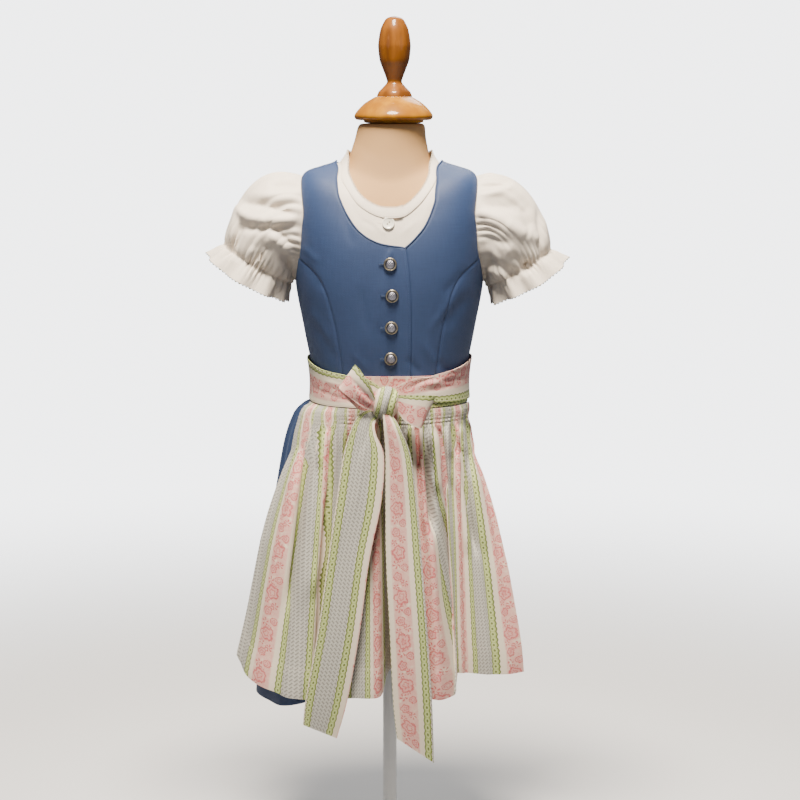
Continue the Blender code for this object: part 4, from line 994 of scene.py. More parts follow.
PRINCESS_SEAM_LEFT = [(-180 - angle, level) for angle, level in PRINCESS_SEAM_RIGHT]
PLACKET_EDGE = [(-71.5, WAIST_LEVEL), (-73, 4.6), (-77, 6.3)]
PRESSED_WIDTH, PRESSED_DEPTH = 1.5, 0.75
BLUE, BLUE_SHADE = (0.018, 0.041, 0.115), (0.015, 0.035, 0.10)


def above(line, level):
    """The part of an upward line that lies above a level."""
    fine = spline(line, np.linspace(0, len(line) - 1, 12 * (len(line) - 1) + 1))
    return fine[int(np.argmax(fine[:, 1] > level)):]


def moved(line, angle=0.0, level=0.0):
    return [(a + angle, b + level) for a, b in line]


def bodice_off(places):
    """The bodice's inner face, a little fuller over the shoulders."""
    low, high = SHOULDER_LEVELS
    return BODICE_OFF + SHOULDER_RISE * eased_step((places[..., 1] - low) / (high - low))


def placket_rise(places):
    """How far the overlapping front stands up towards its free edge."""
    from_edge = on_torso(*PLACKET_EDGE[0])[0] - over_torso(places)[..., 0]
    return PLACKET_RISE * eased_step(1 - from_edge / PLACKET_RUN)


def centre_front(side, across, up):
    """One centre front, from its princess seam to the placket."""
    seam = PRINCESS_SEAM_RIGHT if side < 0 else PRINCESS_SEAM_LEFT
    meeting = above(armhole_half(side, "front"), ARMHOLE_SEAM_LEVEL)
    nudge = -side * SEAM_DEG
    outer = joined(
        spaced(moved(seam + [tuple(meeting[0])], nudge, SEAM_LEVEL), up[0]),
        spaced(moved([tuple(place) for place in meeting], nudge, SEAM_LEVEL), up[1]),
    )
    outer[-1] = (-180 + SEAM_DEG if side < 0 else -SEAM_DEG, outer[-1][1])
    if side < 0:
        low, high = PLACKET_EDGE, BODICE_NECK_RIGHT
    else:
        low, high = moved(PLACKET_EDGE, SEAM_DEG), BODICE_NECK_LEFT
        low = low[:-1] + [high[0]]
    inner = joined(spaced(low, up[0]), spaced(high, up[1]))
    inner[-1] = (outer[-1][0], inner[-1][1])
    left, right = (outer, inner) if side < 0 else (inner, outer)
    return patch(spaced([left[-1], right[-1]], across), left, right)


def side_front(side, across, up):
    seam = PRINCESS_SEAM_RIGHT if side < 0 else PRINCESS_SEAM_LEFT
    armhole = spline(armhole_half(side, "front"), np.linspace(0, ARMHOLE_UNDERARM, 73))
    meeting = int(np.argmax(armhole[:, 1] > ARMHOLE_SEAM_LEVEL))
    nudge = side * SEAM_DEG
    inner = spaced(moved(seam + [tuple(armhole[meeting])], nudge, -SEAM_LEVEL), up)
    side_angle = -180 + SEAM_DEG if side < 0 else -SEAM_DEG
    underarm = armhole[0][1]
    outer = spaced([(side_angle, WAIST_LEVEL), (side_angle, underarm)], up)
    low = moved([tuple(place) for place in armhole[: meeting + 1]], nudge, -SEAM_LEVEL)
    low[0], low[-1] = (side_angle, underarm), tuple(inner[-1])
    left, right = (outer, inner) if side < 0 else (inner, outer)
    return patch(spaced(low if side < 0 else low[::-1], across), left, right)


def pressed(grid, first=1.0, last=1.0):
    """Rolls a panel's side edges inwards, as at a pressed seam or a turned edge."""
    across = np.cumsum(np.linalg.norm(np.diff(grid, axis=0), axis=-1), axis=0)
    across = np.concatenate([0 * across[:1], across])
    sink = first * bell(across, PRESSED_WIDTH) + last * bell(across[-1:] - across, PRESSED_WIDTH)
    return grid - (PRESSED_DEPTH * sink)[..., None] * grid_normals(grid)


BODICE_CREASES = [
    (-94, 725, -77, 711, 4, 0.6), (-92, 708, -73, 681, 5, -0.8), (-48, 762, -40, 730, 5, -0.5),
    (-7, 705, 3, 724, 3, 0.7), (45, 637, 69, 670, 4.5, 0.7), (60, 640, 86, 672, 7, -1.3),
    (84, 700, 60, 676, 6, -0.9), (39, 620, 56, 586, 4.5, 0.8), (52, 600, 66, 586, 5, -1.1),
    (-86, 655, -66, 625, 5, 0.6), (-80, 640, -60, 602, 5, -0.6), (-40, 610, -22, 590, 4, 0.4),
    (20, 604, 34, 588, 4, -0.7), (-30, 680, -24, 640, 6, -0.5), (-8, 690, -14, 640, 7, 0.6),
]
BODICE_BACK_CREASES = [
    (-86, 720, -60, 690, 3.2, -1.1), (84, 716, 62, 684, 3.4, -1), (-40, 620, -8, 600, 3, 0.9),
    (36, 634, 62, 606, 3, 1), (-70, 660, -48, 618, 3.4, 1), (4, 606, 30, 590, 2.8, -0.8),
    (72, 668, 56, 640, 3, 0.9), (-20, 740, -14, 700, 4, -0.7),
]

blue_cotton = plain_cotton(
    "blue_cotton", BLUE, BLUE_SHADE, 0.5, Roughness=0.6, Sheen_Weight=0.06, Sheen_Roughness=0.35,
    Sheen_Tint=(0.55, 0.68, 1.0, 1),
)
blue_thread = thread_material("blue_thread", (0.028, 0.066, 0.165))
bodice = {}
for side, word in ((-1, "r"), (1, "l")):
    places = centre_front(side, 92, (66, 76))
    rise = placket_rise(places) if side < 0 else 0
    grid = creased(over_torso(places, bodice_off(places) + rise), BODICE_CREASES)
    bodice[word] = grid = pressed(grid, 1.0, 0.6 if side < 0 else 1.0)
    front = cloth(
        f"bodice_front_{word}", grid, BODICE_CLOTH, torso_cut(places), blue_cotton,
        f"bodice_center_front_{word}",
    )
    places = side_front(side, 40, 70)
    grid = pressed(creased(over_torso(places, bodice_off(places)), BODICE_CREASES))
    flank = cloth(
        f"bodice_side_{word}", grid, BODICE_CLOTH, torso_cut(places), blue_cotton,
        f"bodice_side_front_{word}",
    )
places = body_panel("back", BODICE_NECK_BACK, WAIST_LEVEL, (14, 72), (26, 26, 26))
grid = creased(over_torso(places, bodice_off(places)), BODICE_BACK_CREASES, facing=1.0)
bodice["back"] = grid = pressed(grid)
back = cloth("bodice_back_panel", grid, BODICE_CLOTH, torso_cut(places), blue_cotton, "bodice_back")

seams = [
    ("r", np.s_[-4, 66:]), ("l", np.s_[3, 66:]), ("r", np.s_[-3, 2:66]), ("back", np.s_[14:87, -3])
]
seams = [sewing_line(bodice[word], seam, BODICE_CLOTH + STITCH_OFF) for word, seam in seams]
stitches("bodice_stitches", seams, blue_thread, "blue_cotton")

# ---- The neckline piping ---------------------------------------------------------------------
# A thin cord covered with the bodice's own cotton, cut on the slant, runs round the whole
# neckline just inside its edge.

PIPING_RADIUS, PIPING_LIFT, PIPING_GAP = 0.9, 0.3, 0.1
PIPING_SIDES = 10


def corded(name, path, outward, radius, sides, material):
    """A closed ring of cord. Its UV map turns with the cord, as cloth cut on the slant does."""
    heading = unit(np.roll(path, -1, axis=0) - np.roll(path, 1, axis=0))
    beside = unit(np.cross(heading, outward))
    turn = np.linspace(0, 2 * math.pi, sides + 1)[None, :, None]
    ring = np.cos(turn) * beside[:, None] + np.sin(turn) * np.cross(beside, heading)[:, None]
    points = (path[:, None] + radius * ring)[:, :-1].reshape(-1, 3)
    numbers = numbered(len(path), sides, closed=True)
    numbers = np.concatenate([numbers, numbers[:, :1]], axis=1)
    run = run_along(np.concatenate([path, path[:1]]))[:, None]
    round_it = np.linspace(0, 2 * math.pi * radius, sides + 1)[None, :]
    cut = paired(run + round_it, run - round_it)
    corners = at_corners(cut, quads(numbered(*cut.shape[:2]))[:, ::-1]) * MM
    return add_piece(name, points, quads(numbers)[:, ::-1].tolist(), material, corners)


around = joined(spaced(BODICE_NECK_LEFT, 70), spaced(BODICE_NECK_BACK, 80))
around = np.concatenate([around, spaced(BODICE_NECK_RIGHT[::-1], 90)[1:] - (360, 0)])
around[150:, 0] += 360 * (around[150:, 0] < -180)
path = over_torso(around, bodice_off(around) + BODICE_CLOTH / 2 + PIPING_LIFT)
outward = torso_normal(around[:, 0], around[:, 1])
inward = unit(np.cross(outward, np.roll(path, -1, axis=0) - np.roll(path, 1, axis=0)))
path = path + inward * (PIPING_RADIUS + PIPING_GAP)
piping = corded("bodice_piping", path, outward, PIPING_RADIUS, PIPING_SIDES, blue_cotton)
stands_for(piping, "blue_cotton", "neckline_piping")

# ---- The metal buttons and buttonholes -------------------------------------------------------
# Four domed shank buttons of cast alloy with a worn rim and a dark groove. Each holds the right
# front in a buttonhole that is worked in blue thread, with a dark cord in its slit as painted
# shade.

METAL_BUTTONS = [(-89.0, 5.80), (-87.5, 4.88), (-88.0, 4.18), (-88.5, 3.54)]
METAL_PROFILE = [
    (0, 4), (3, 3.5), (4.6, 2.4), (5, 1.7), (5.6, 1.9), (6.5, 2.3), (7.2, 1.6), (7.2, 0.7),
    (6.6, 0), (0, 0),
]
METAL_BUTTON_OFF, HOLE_FROM_BUTTON, HOLE_HALF_LENGTH, HOLE_HALF_WIDTH = 0.3, -7.5, 4.5, 0.75

silver, silver_shader = new_material("antique_silver", Metallic=1.0)
u, v = cut_terms(silver)
from_centre = (u * u + v * v).of("SQRT")
tarnish = noise(silver, 420, detail=5.0).above(0.42, 0.66)
tone = coloured(from_centre.above(5.2, 5.8), (0.22, 0.22, 0.27), (0.25, 0.22, 0.16))
tone = coloured(tarnish * 0.45, tone, (0.16, 0.15, 0.15))
tone = coloured(from_centre.between(4.5, 5.3, 0.25) * 0.9, tone, (0.03, 0.03, 0.035))
petals = (u * 2.4).of("SINE") * (v * 2.4).of("SINE") * from_centre.between(0.0, 4.2, 0.4)
finish(silver_shader, tone, petals + tarnish * 0.3, 0.18, Roughness=tarnish * 0.2 + 0.36)
hole_paths, slit_paths = [], []
for number, place in enumerate(METAL_BUTTONS, 1):
    button = turned(f"metal_button_{number}", METAL_PROFILE, silver, soft=(0, 8))
    lying(button, place, BODICE_OFF + BODICE_CLOTH + METAL_BUTTON_OFF)
    stands_for(button, "antique_silver", f"bodice_button_{number}")
    centre = on_torso(*place, BODICE_OFF + BODICE_CLOTH + PLACKET_RISE + THREAD_OFF)
    outward = torso_normal(*place)
    across = unit(np.cross((0, 0, 1), outward))
    ends = [centre + across * (HOLE_FROM_BUTTON + k * HOLE_HALF_LENGTH) for k in (-1, 1)]
    slit_paths.append((np.array(ends), outward))
    hole_paths += [(np.array(ends) + (0, 0, k * HOLE_HALF_WIDTH), outward) for k in (-1, 1)]
stitches(
    "buttonholes", hole_paths, blue_thread, "blue_cotton",
    spacing=0.5, length=0.42, width=1.3, height=0.7,
)
# Each buttonhole's slit is a near-black cord laid along its opening: painted shade in the cut.
slit_shade = thread_material("buttonhole_slit_shade", (0.008, 0.014, 0.03))
stitches(
    "buttonhole_slit_shades", slit_paths, slit_shade, "blue_cotton",
    spacing=0.8, length=1.6, width=0.5, height=0.8,
)

# ---- The skirt -------------------------------------------------------------------------------
# A full skirt of the same blue cotton, gathered on to the bodice's waist with a seam at each
# side. It hangs free in soft folds, with a deep turned hem.

SKIRT_CLOTH = 1.2
SKIRT_HEM = [
    (-180, 150, 224), (-165, 154, 220), (-152, 157, 215), (-143, 153, 214), (-135, 130, 219),
    (-126, 106, 232), (-115, 88, 246), (-100, 77, 252), (-85, 75, 252), (-70, 80, 252),
    (-55, 92, 252), (-42, 107, 252), (-30, 126, 250), (-18, 142, 249), (0, 148, 247),
    (30, 152, 240), (60, 160, 235), (90, 165, 232), (120, 160, 230), (150, 152, 227),
    (180, 150, 224),
]
SKIRT_TOP_Z, SKIRT_FREE_Z, SKIRT_HUG, SKIRT_SEAM_GAP, SKIRT_SEAM_DEG = 567.0, 549.0, 3.3, 0.3, 0.01
SKIRT_FOLDS, SKIRT_FOLD_DEPTH, SKIRT_FRONT_FOLD_DEPTH, SKIRT_FOLD_AT_WAIST = 14, 8.0, 2.5, 0.15
SKIRT_FLARE = np.array([
    (0, 0, 0, 0), (0.035, 0.28, 0, 0.02), (0.1, 0.42, 0, 0.08), (0.16, 0.5, 0.03, 0.14),
    (0.25, 0.58, 0.15, 0.25), (0.35, 0.66, 0.34, 0.35), (0.5, 0.76, 0.51, 0.5),
    (0.65, 0.84, 0.67, 0.65), (0.8, 0.92, 0.84, 0.8), (1, 1, 1, 1),
])
SKIRT_GATHERS, SKIRT_GATHER_DEPTH, SKIRT_GATHER_REACH = 74, 1.0, 0.16
SKIRT_SOFT_FOLDS, SKIRT_SOFT_DEPTH, SKIRT_SOFT_REACH = 31, 1.4, 0.75
SKIRT_COLUMNS, SKIRT_ROWS, SKIRT_FLAT_WIDTH, SKIRT_HEM_DEPTH = 190, 74, 760.0, 30
FLAT_IN_FRONT_DEG, GATHERED_OVER_DEG = 60, 25


def keyed_spline(rows, key):
    """The spline read where its first column has the given value."""
    rows = np.asarray(rows, float)
    return spline(rows, np.interp(key, rows[:, 0], np.arange(len(rows))))[..., 1:]


def level_at(z):
    """The level at a height below the chest, where every ring is flat."""
    return np.interp(z, TORSO_RINGS[:FLAT_RINGS, SIDE_Z], np.arange(FLAT_RINGS))


def blended(drop, table, shares):
    """Columns of a table by its first one, with rounded corners, mixed by their shares."""
    near = [drop + shift for shift in (-0.02, -0.01, 0, 0.01, 0.02)]
    columns = [
        np.mean([np.interp(at, table[:, 0], column) for at in near], axis=0)
        for column in table.T[1:]
    ]
    return sum(share * column for share, column in zip(shares, columns))


def skirt_point(angle, z):
    """Points of the skirt's inner face, with fine folds under the waist where no apron lies."""
    hem = keyed_spline(SKIRT_HEM, angle)
    drop = np.clip((SKIRT_FREE_Z - z) / (SKIRT_FREE_Z - hem[..., 1]), 0, 1)
    hugging = on_torso(angle, level_at(np.maximum(z, SKIRT_FREE_Z)), SKIRT_HUG)
    waist = np.linalg.norm(hugging[..., :2], axis=-1)
    turn = np.radians(angle)
    ahead, right = -np.sin(turn), np.cos(turn)
    front = np.clip(ahead, 0, 1) ** 0.8
    beside = (1 - front) * np.clip(right, 0, 1) ** 0.5
    flare = blended(drop, SKIRT_FLARE, (1 - front - beside, beside, front))
    shallower = (SKIRT_FRONT_FOLD_DEPTH - SKIRT_FOLD_DEPTH) * np.clip(ahead + 0.3, 0, 1)
    depth = SKIRT_FOLD_DEPTH + shallower
    under_band = eased_step(drop / 0.03)
    depth = depth * (SKIRT_FOLD_AT_WAIST * under_band + drop) / (1 + SKIRT_FOLD_AT_WAIST)
    fold = depth * np.cos(turn * SKIRT_FOLDS + 1.0 + 0.35 * np.sin(2 * turn + 0.7) + 0.25 * drop)
    fine = uneven(turn, SKIRT_GATHERS, 0.4) * under_band
    fine = fine * np.exp(-((drop / SKIRT_GATHER_REACH) ** 1.3))
    soft = uneven(turn, SKIRT_SOFT_FOLDS, 1.9) * eased_step(drop / 0.2)
    soft = soft * bell(drop, SKIRT_SOFT_REACH) * SKIRT_SOFT_DEPTH
    spread = (hem[..., 0] - waist) * flare * eased_step(drop / 0.02)
    gathered = np.clip((np.abs(angle + 90) - FLAT_IN_FRONT_DEG) / GATHERED_OVER_DEG, 0, 1)
    radius = waist + spread + fold + gathered * (SKIRT_GATHER_DEPTH * fine + soft)
    return np.stack([radius * np.cos(turn), radius * np.sin(turn), z + 0 * radius], -1)


hem_rows = []
for half, start in (("front", -180), ("back", 0)):
    angles = np.linspace(start + SKIRT_SEAM_DEG, start + 180 - SKIRT_SEAM_DEG, SKIRT_COLUMNS + 1)
    drop = keyed_spline(SKIRT_HEM, angles)[:, 1:] - SKIRT_TOP_Z
    z = SKIRT_TOP_Z - SKIRT_SEAM_GAP + drop * np.linspace(1, 0, SKIRT_ROWS + 1) ** 1.25
    grid = skirt_point(np.broadcast_to(angles[:, None], z.shape), z)
    cut = paired((angles[:, None] + 180) / 360 * SKIRT_FLAT_WIDTH, z)
    piece = cloth(f"skirt_{half}_panel", grid, SKIRT_CLOTH, cut, blue_cotton, f"skirt_{half}")
    row = int(np.argmin(np.abs(run_up(grid) - SKIRT_HEM_DEPTH)))
    hem_rows.append(sewing_line(grid, np.s_[:, row], SKIRT_CLOTH + STITCH_OFF))
stitches("skirt_hem_stitches", hem_rows, blue_thread, "blue_cotton", spacing=3.0)

# ---- The apron -------------------------------------------------------------------------------
# A half apron of fine printed cotton, with woven grey stripes between green dotted bands, and
# roses on cream. It is gathered by rows of shirring under its band, and hangs in deep folds.

STRIPE_REPEAT = 72.5
GREY_EDGE, GREEN_EDGE, PINK_EDGE = 11.2, 19.8, 25.8
DASH_LENGTH, DASH_PITCH, DOT_PITCH = 6.4, 3.2, 6.6
APRON_CLOTH = 1.1
APRON_HEM = np.array([
    (-0.1, -172, -76, 268), (0, -167, -82, 259), (0.25, -158, -95, 249), (0.5, -144, -106, 242),
    (0.75, -127, -114, 236), (1, -107, -121, 232), (1.25, -90, -123, 231), (1.6, -78, -114, 233),
    (2, -68, -102, 236), (2.4, -58, -112, 234), (2.7, -48, -121, 232), (3, -34, -122, 232),
    (3.4, -15, -119, 232), (3.62, -8, -110, 236), (4, -4, -90, 250), (4.3, 1, -86, 256),
    (4.6, 5, -92, 250), (4.85, 9, -112, 236), (5, 18, -121, 232), (5.25, 36, -124, 232),
    (5.5, 57, -124, 232), (5.7, 68, -119, 232), (6.1, 72, -104, 240), (6.6, 74.5, -90, 249),
    (7, 76.5, -84, 251), (7.5, 83, -86, 251), (8, 107, -91, 250), (8.25, 122, -91, 250),
    (8.5, 140, -88, 250), (8.63, 151, -84, 251),
], float)
APRON_TOP_Z, APRON_TOP_LEVEL, APRON_OFF, APRON_ANGLES = 548.0, 2.52, 5.8, (-166.0, -13.0)
APRON_FLARE = np.array([
    (0, 0, 0, 0), (0.05, 0.06, 0.03, 0), (0.13, 0.17, 0.12, 0.05), (0.2, 0.28, 0.2, 0.14),
    (0.27, 0.39, 0.27, 0.28), (0.35, 0.49, 0.35, 0.41), (0.43, 0.58, 0.43, 0.52),
    (0.53, 0.67, 0.53, 0.63), (0.62, 0.73, 0.62, 0.73), (0.82, 0.86, 0.82, 0.9),
    (0.9, 0.92, 0.9, 0.96), (1, 1, 1, 1),
])
APRON_SIDE_SHARE, APRON_SIDE_HEM, APRON_CLEARANCE = 0.3, 0.014, 3.0
APRON_GATHERS, GATHER_DEPTH = 21, 1.3
GATHER_FADE = [(0.0, 0.6), (0.05, 1.0), (0.35, 0.0)]
SHIRR_ROWS, SHIRR_PITCH, SHIRR_DEPTH, SHIRR_PUCKERS, SHIRR_ROW_DEPTH = 5, 4.6, 1.5, 57, 0.45
APRON_COLUMNS, SHIRRED_GRID_ROWS, APRON_ROWS, APRON_LENGTH = 342, 28, 104, 330.0
APRON_HEM_DEPTH, APRON_HEM_STEP = 33.0, 0.7
LOWER_GATHERS, LOWER_GATHER_DEPTH, LOWER_GATHER_REACH = 43, 2.3, 70
APRON_SOFT_FOLDS, APRON_SOFT_DEPTH = 17, 2.4
APRON_OFF_SKIRT, APRON_OFF_GATHERS, WAIST_GATHERS_Z, WAIST_GATHERS_REACH = 1.5, 2.0, 542, 8
TUCK_ENDS = (-0.1, 1.15, 0.35, 0.3)
APRON_TUCKS = [
    (-60, 527, -66, 440, 3.4, 17, -6), (-66, 450, -74, 350, 3.8, 18, -7),
    (-70, 380, -78, 232, 4.8, 15, -9), (0, 520, 2, 236, 4.6, 15, 6),
    (40, 526, 48, 420, 3.4, 13, -5), (54, 524, 62, 462, 3.2, 12, 5), (57, 450, 67, 228, 4.6, 19, 9),
    (-88, 505, -108, 340, 4.8, 12, -5), (84, 480, 97, 390, 3.6, 11, -4),
    (-76, 528, -84, 488, 2.8, 10, -3), (30, 528, 31, 488, 2.6, 9, 2),
    (70, 528, 75, 496, 2.6, 9, -3), (88, 526, 94, 494, 2.6, 8, 2),
]
APRON_PLEATS = [
    (-82, 524, -112, 330, 4.5, -2.8), (-72, 520, -92, 420, 5, 2.6), (-46, 516, -44, 330, 6, 2.8),
    (-32, 522, -28, 420, 3.6, -2.6), (32, 520, 38, 400, 3.8, -3), (42, 516, 52, 360, 5.5, 2.8),
    (18, 520, 22, 330, 5, 2.4), (78, 520, 96, 400, 4, -3), (70, 516, 88, 430, 4.5, 2.4),
    (90, 500, 118, 330, 6, 2.4), (-100, 500, -140, 300, 6.5, 2.6), (86, 524, 100, 470, 3, -2.2),
    (104, 430, 132, 270, 6, -2.6),
]


def striped_cotton(name):
    """The printed cotton. Across the cloth it repeats every STRIPE_REPEAT, about a grey stripe."""
    made, shader = new_material(name, Roughness=0.6, Sheen_Weight=0.1, Sheen_Roughness=0.4)
    across, along = cut_terms(made)
    repeat = across / STRIPE_REPEAT
    out = ((repeat - repeat.of("ROUND")) * STRIPE_REPEAT).of("ABSOLUTE")
    rose_repeat = repeat.of("FLOOR")
    from_rose = (repeat - rose_repeat - 0.5) * STRIPE_REPEAT
    speckle = noise(made, 1300, detail=1.0, on_cut=True)
    wash = noise(made, 150, detail=4.0, on_cut=True)
    ragged = noise(made, 520, detail=2.0, on_cut=True)

    cream, pale_pink = (0.77, 0.665, 0.52), (0.71, 0.43, 0.36)
    mid_pink, deep_pink = (0.66, 0.27, 0.25), (0.52, 0.085, 0.10)
    green, pale_green, dark_green = (0.36, 0.43, 0.13), (0.58, 0.63, 0.28), (0.085, 0.12, 0.02)
    grey, pale_grey, dash_grey = (0.46, 0.445, 0.39), (0.66, 0.64, 0.57), (0.19, 0.18, 0.16)

    in_pink = out.above(PINK_EDGE - 1.2, PINK_EDGE + 1.2)
    colour = coloured(in_pink * wash.above(0.28, 0.48) * 0.95, cream, pale_pink)

    def printed_at(pitch, shift, centre):
        """The place round a motif that comes at every pitch of the cloth, and how far off it is."""
        u = from_rose - centre
        v = ((along + rose_repeat * 17.0 + shift) / pitch).of("FRACT") * pitch - pitch / 2
        return u, v, (u * u + v * v).of("SQRT")

    def rose(radius, pitch, shift, centre, petals):
        """An open flower: its petals' outlines, and their softer fill."""
        u, v, away = printed_at(pitch, shift, centre)
        scallop = (v.of("ARCTAN2", u) * petals).of("SINE").of("ABSOLUTE")
        edge = away + (wash - 0.5) * radius * 0.9 + (ragged - 0.5) * 3.4 - scallop * (radius * 0.2)
        outline = edge.between(radius * 0.58, radius * 0.84, radius * 0.10)
        heart = edge.between(radius * 0.10, radius * 0.30, radius * 0.10)
        return outline.either(heart * 0.9), edge.below(radius * 0.7, radius * 0.85)

    def spray(radius, pitch, shift, centre, rays):
        """A fan of narrow leaves."""
        u, v, away = printed_at(pitch, shift, centre)
        leaf = (v.of("ARCTAN2", u) * rays + away * 0.5 + ragged * 3.0).of("SINE").above(-0.2, 0.3)
        edge = away + (wash - 0.5) * radius * 0.9
        return leaf * edge.between(radius * 0.22, radius * 0.85, radius * 0.1)

    big, big_fill = rose(8.6, 49.0, 0.0, -1.0, 2.5)
    bud, bud_fill = rose(4.6, 49.0, 16.0, 5.6, 1.5)
    second, second_fill = rose(5.4, 49.0, 26.5, -3.6, 2.5)
    leaves = spray(5.6, 49.0, 13.0, -4.6, 5.0).either(spray(5.0, 49.0, 34.0, 4.2, 6.0))
    leaves = leaves.either(spray(4.4, 49.0, 38.0, -6.2, 5.0))
    leaves = leaves.either(spray(3.6, 24.5, 20.0, 1.0, 4.0) * 0.8)
    fill = big_fill.either(bud_fill).either(second_fill) * 0.45
    strewn = wash.above(0.47, 0.55) * ragged.above(0.46, 0.56) * 0.5
    colour = coloured(fill.either(strewn) * in_pink, colour, mid_pink)
    drawn = big.either(bud).either(second).either(leaves) * speckle.above(0.28, 0.45)
    colour = coloured(drawn * out.above(PINK_EDGE - 2.5, PINK_EDGE - 1.5) * 0.92, colour, deep_pink)

    climb, fall = (across - along) * 0.707, (across + along) * 0.707
    dash_place = (climb / DASH_LENGTH + (fall / DASH_PITCH).of("FLOOR") * 0.45).of("FRACT")
    dash = (fall * (2 * math.pi / DASH_PITCH)).of("SINE").above(-0.1, 0.5)
    dash = dash * dash_place.between(0.08, 0.80, 0.06)
    light = dash_place.between(0.87, 0.97, 0.04)
    grey_cloth = coloured(light * 0.6, coloured(dash * 0.75, grey, dash_grey), pale_grey)
    in_grey = out.below(GREY_EDGE - 0.3, GREY_EDGE + 0.3)
    colour = coloured(in_grey, colour, grey_cloth)

    wave = (along * (2 * math.pi / DOT_PITCH)).of("COSINE") * 0.42
    low_edge, high_edge = out - wave - GREY_EDGE, out + wave - GREEN_EDGE
    in_green = low_edge.above(0.0, 0.4) * high_edge.below(-0.4, 0.0)
    colour = coloured(in_green, colour, green)
    dot_v = ((along / DOT_PITCH).of("FRACT") - 0.5) * DOT_PITCH
    dot_u = out - (GREY_EDGE + GREEN_EDGE) / 2
    from_dot = (dot_u * dot_u + dot_v * dot_v * 0.6).of("SQRT")
    colour = coloured(from_dot.below(1.6, 2.9) * in_green * 0.8, colour, pale_green)
    line = low_edge.between(0.1, 1.4, 0.25).either(high_edge.between(-1.4, -0.1, 0.25))
    colour = coloured(line.either(from_dot.below(1.0, 1.4)) * in_green * 0.9, colour, dark_green)
    slub = noise(made, 900, stretch=(0.06, 1.0, 1.0), detail=2.0, on_cut=True)
    finish(shader, colour, woven(made, 0.40) + slub + dash * in_grey * 0.6, 0.06)
    return made


apron_stripe = striped_cotton("apron_stripe")


def skirt_face(x, z):
    """How far forward the skirt's outer face reaches, read from a table of rings."""
    heights, spots = np.linspace(225, 550, 66), np.linspace(-190, 170, 181)
    angles = np.linspace(-180, 0, 181)
    rings = [skirt_point(angles, np.full(len(angles), height)) for height in heights]
    table = np.array([
        np.interp(spots, ring[:, 0], ring[:, 1], left=300, right=300) for ring in rings
    ])
    row = np.clip((z - heights[0]) / (heights[1] - heights[0]), 0, len(heights) - 1.001)
    column = np.clip((x - spots[0]) / (spots[1] - spots[0]), 0, len(spots) - 1.001)
    i, j = row.astype(int), column.astype(int)
    a, b = row - i, column - j
    low = table[i, j] * (1 - b) + table[i, j + 1] * b
    high = table[i + 1, j] * (1 - b) + table[i + 1, j + 1] * b
    return low * (1 - a) + high * a - SKIRT_CLOTH


def tucked(grid, tucks):
    """Pushes soft slits into a grid, between fuller folds. Each is x1, z1, x2, z2, width, how deep
    it goes and how far its bottom slips sideways, under the fold beside it."""
    moved_by = np.zeros(grid.shape)
    for *line, width, deep, aside in tucks:
        along, across = from_line(grid, *line)
        taper = tapered(along, *TUCK_ENDS)
        press = (bell(across, width) * taper)[..., None]
        beside = (bell(np.abs(across) - 2.5 * width, 1.4 * width) * taper)[..., None]
        moved_by += press * (aside, deep, 0) - beside * (0, 0.32 * deep, 0)
    return grid + moved_by


def softly_least(first, second, softness):
    """The lesser of two fields, with a rounded meeting."""
    part = np.clip(0.5 + 0.5 * (second - first) / softness, 0, 1)
    return second * (1 - part) + first * part - softness * part * (1 - part)


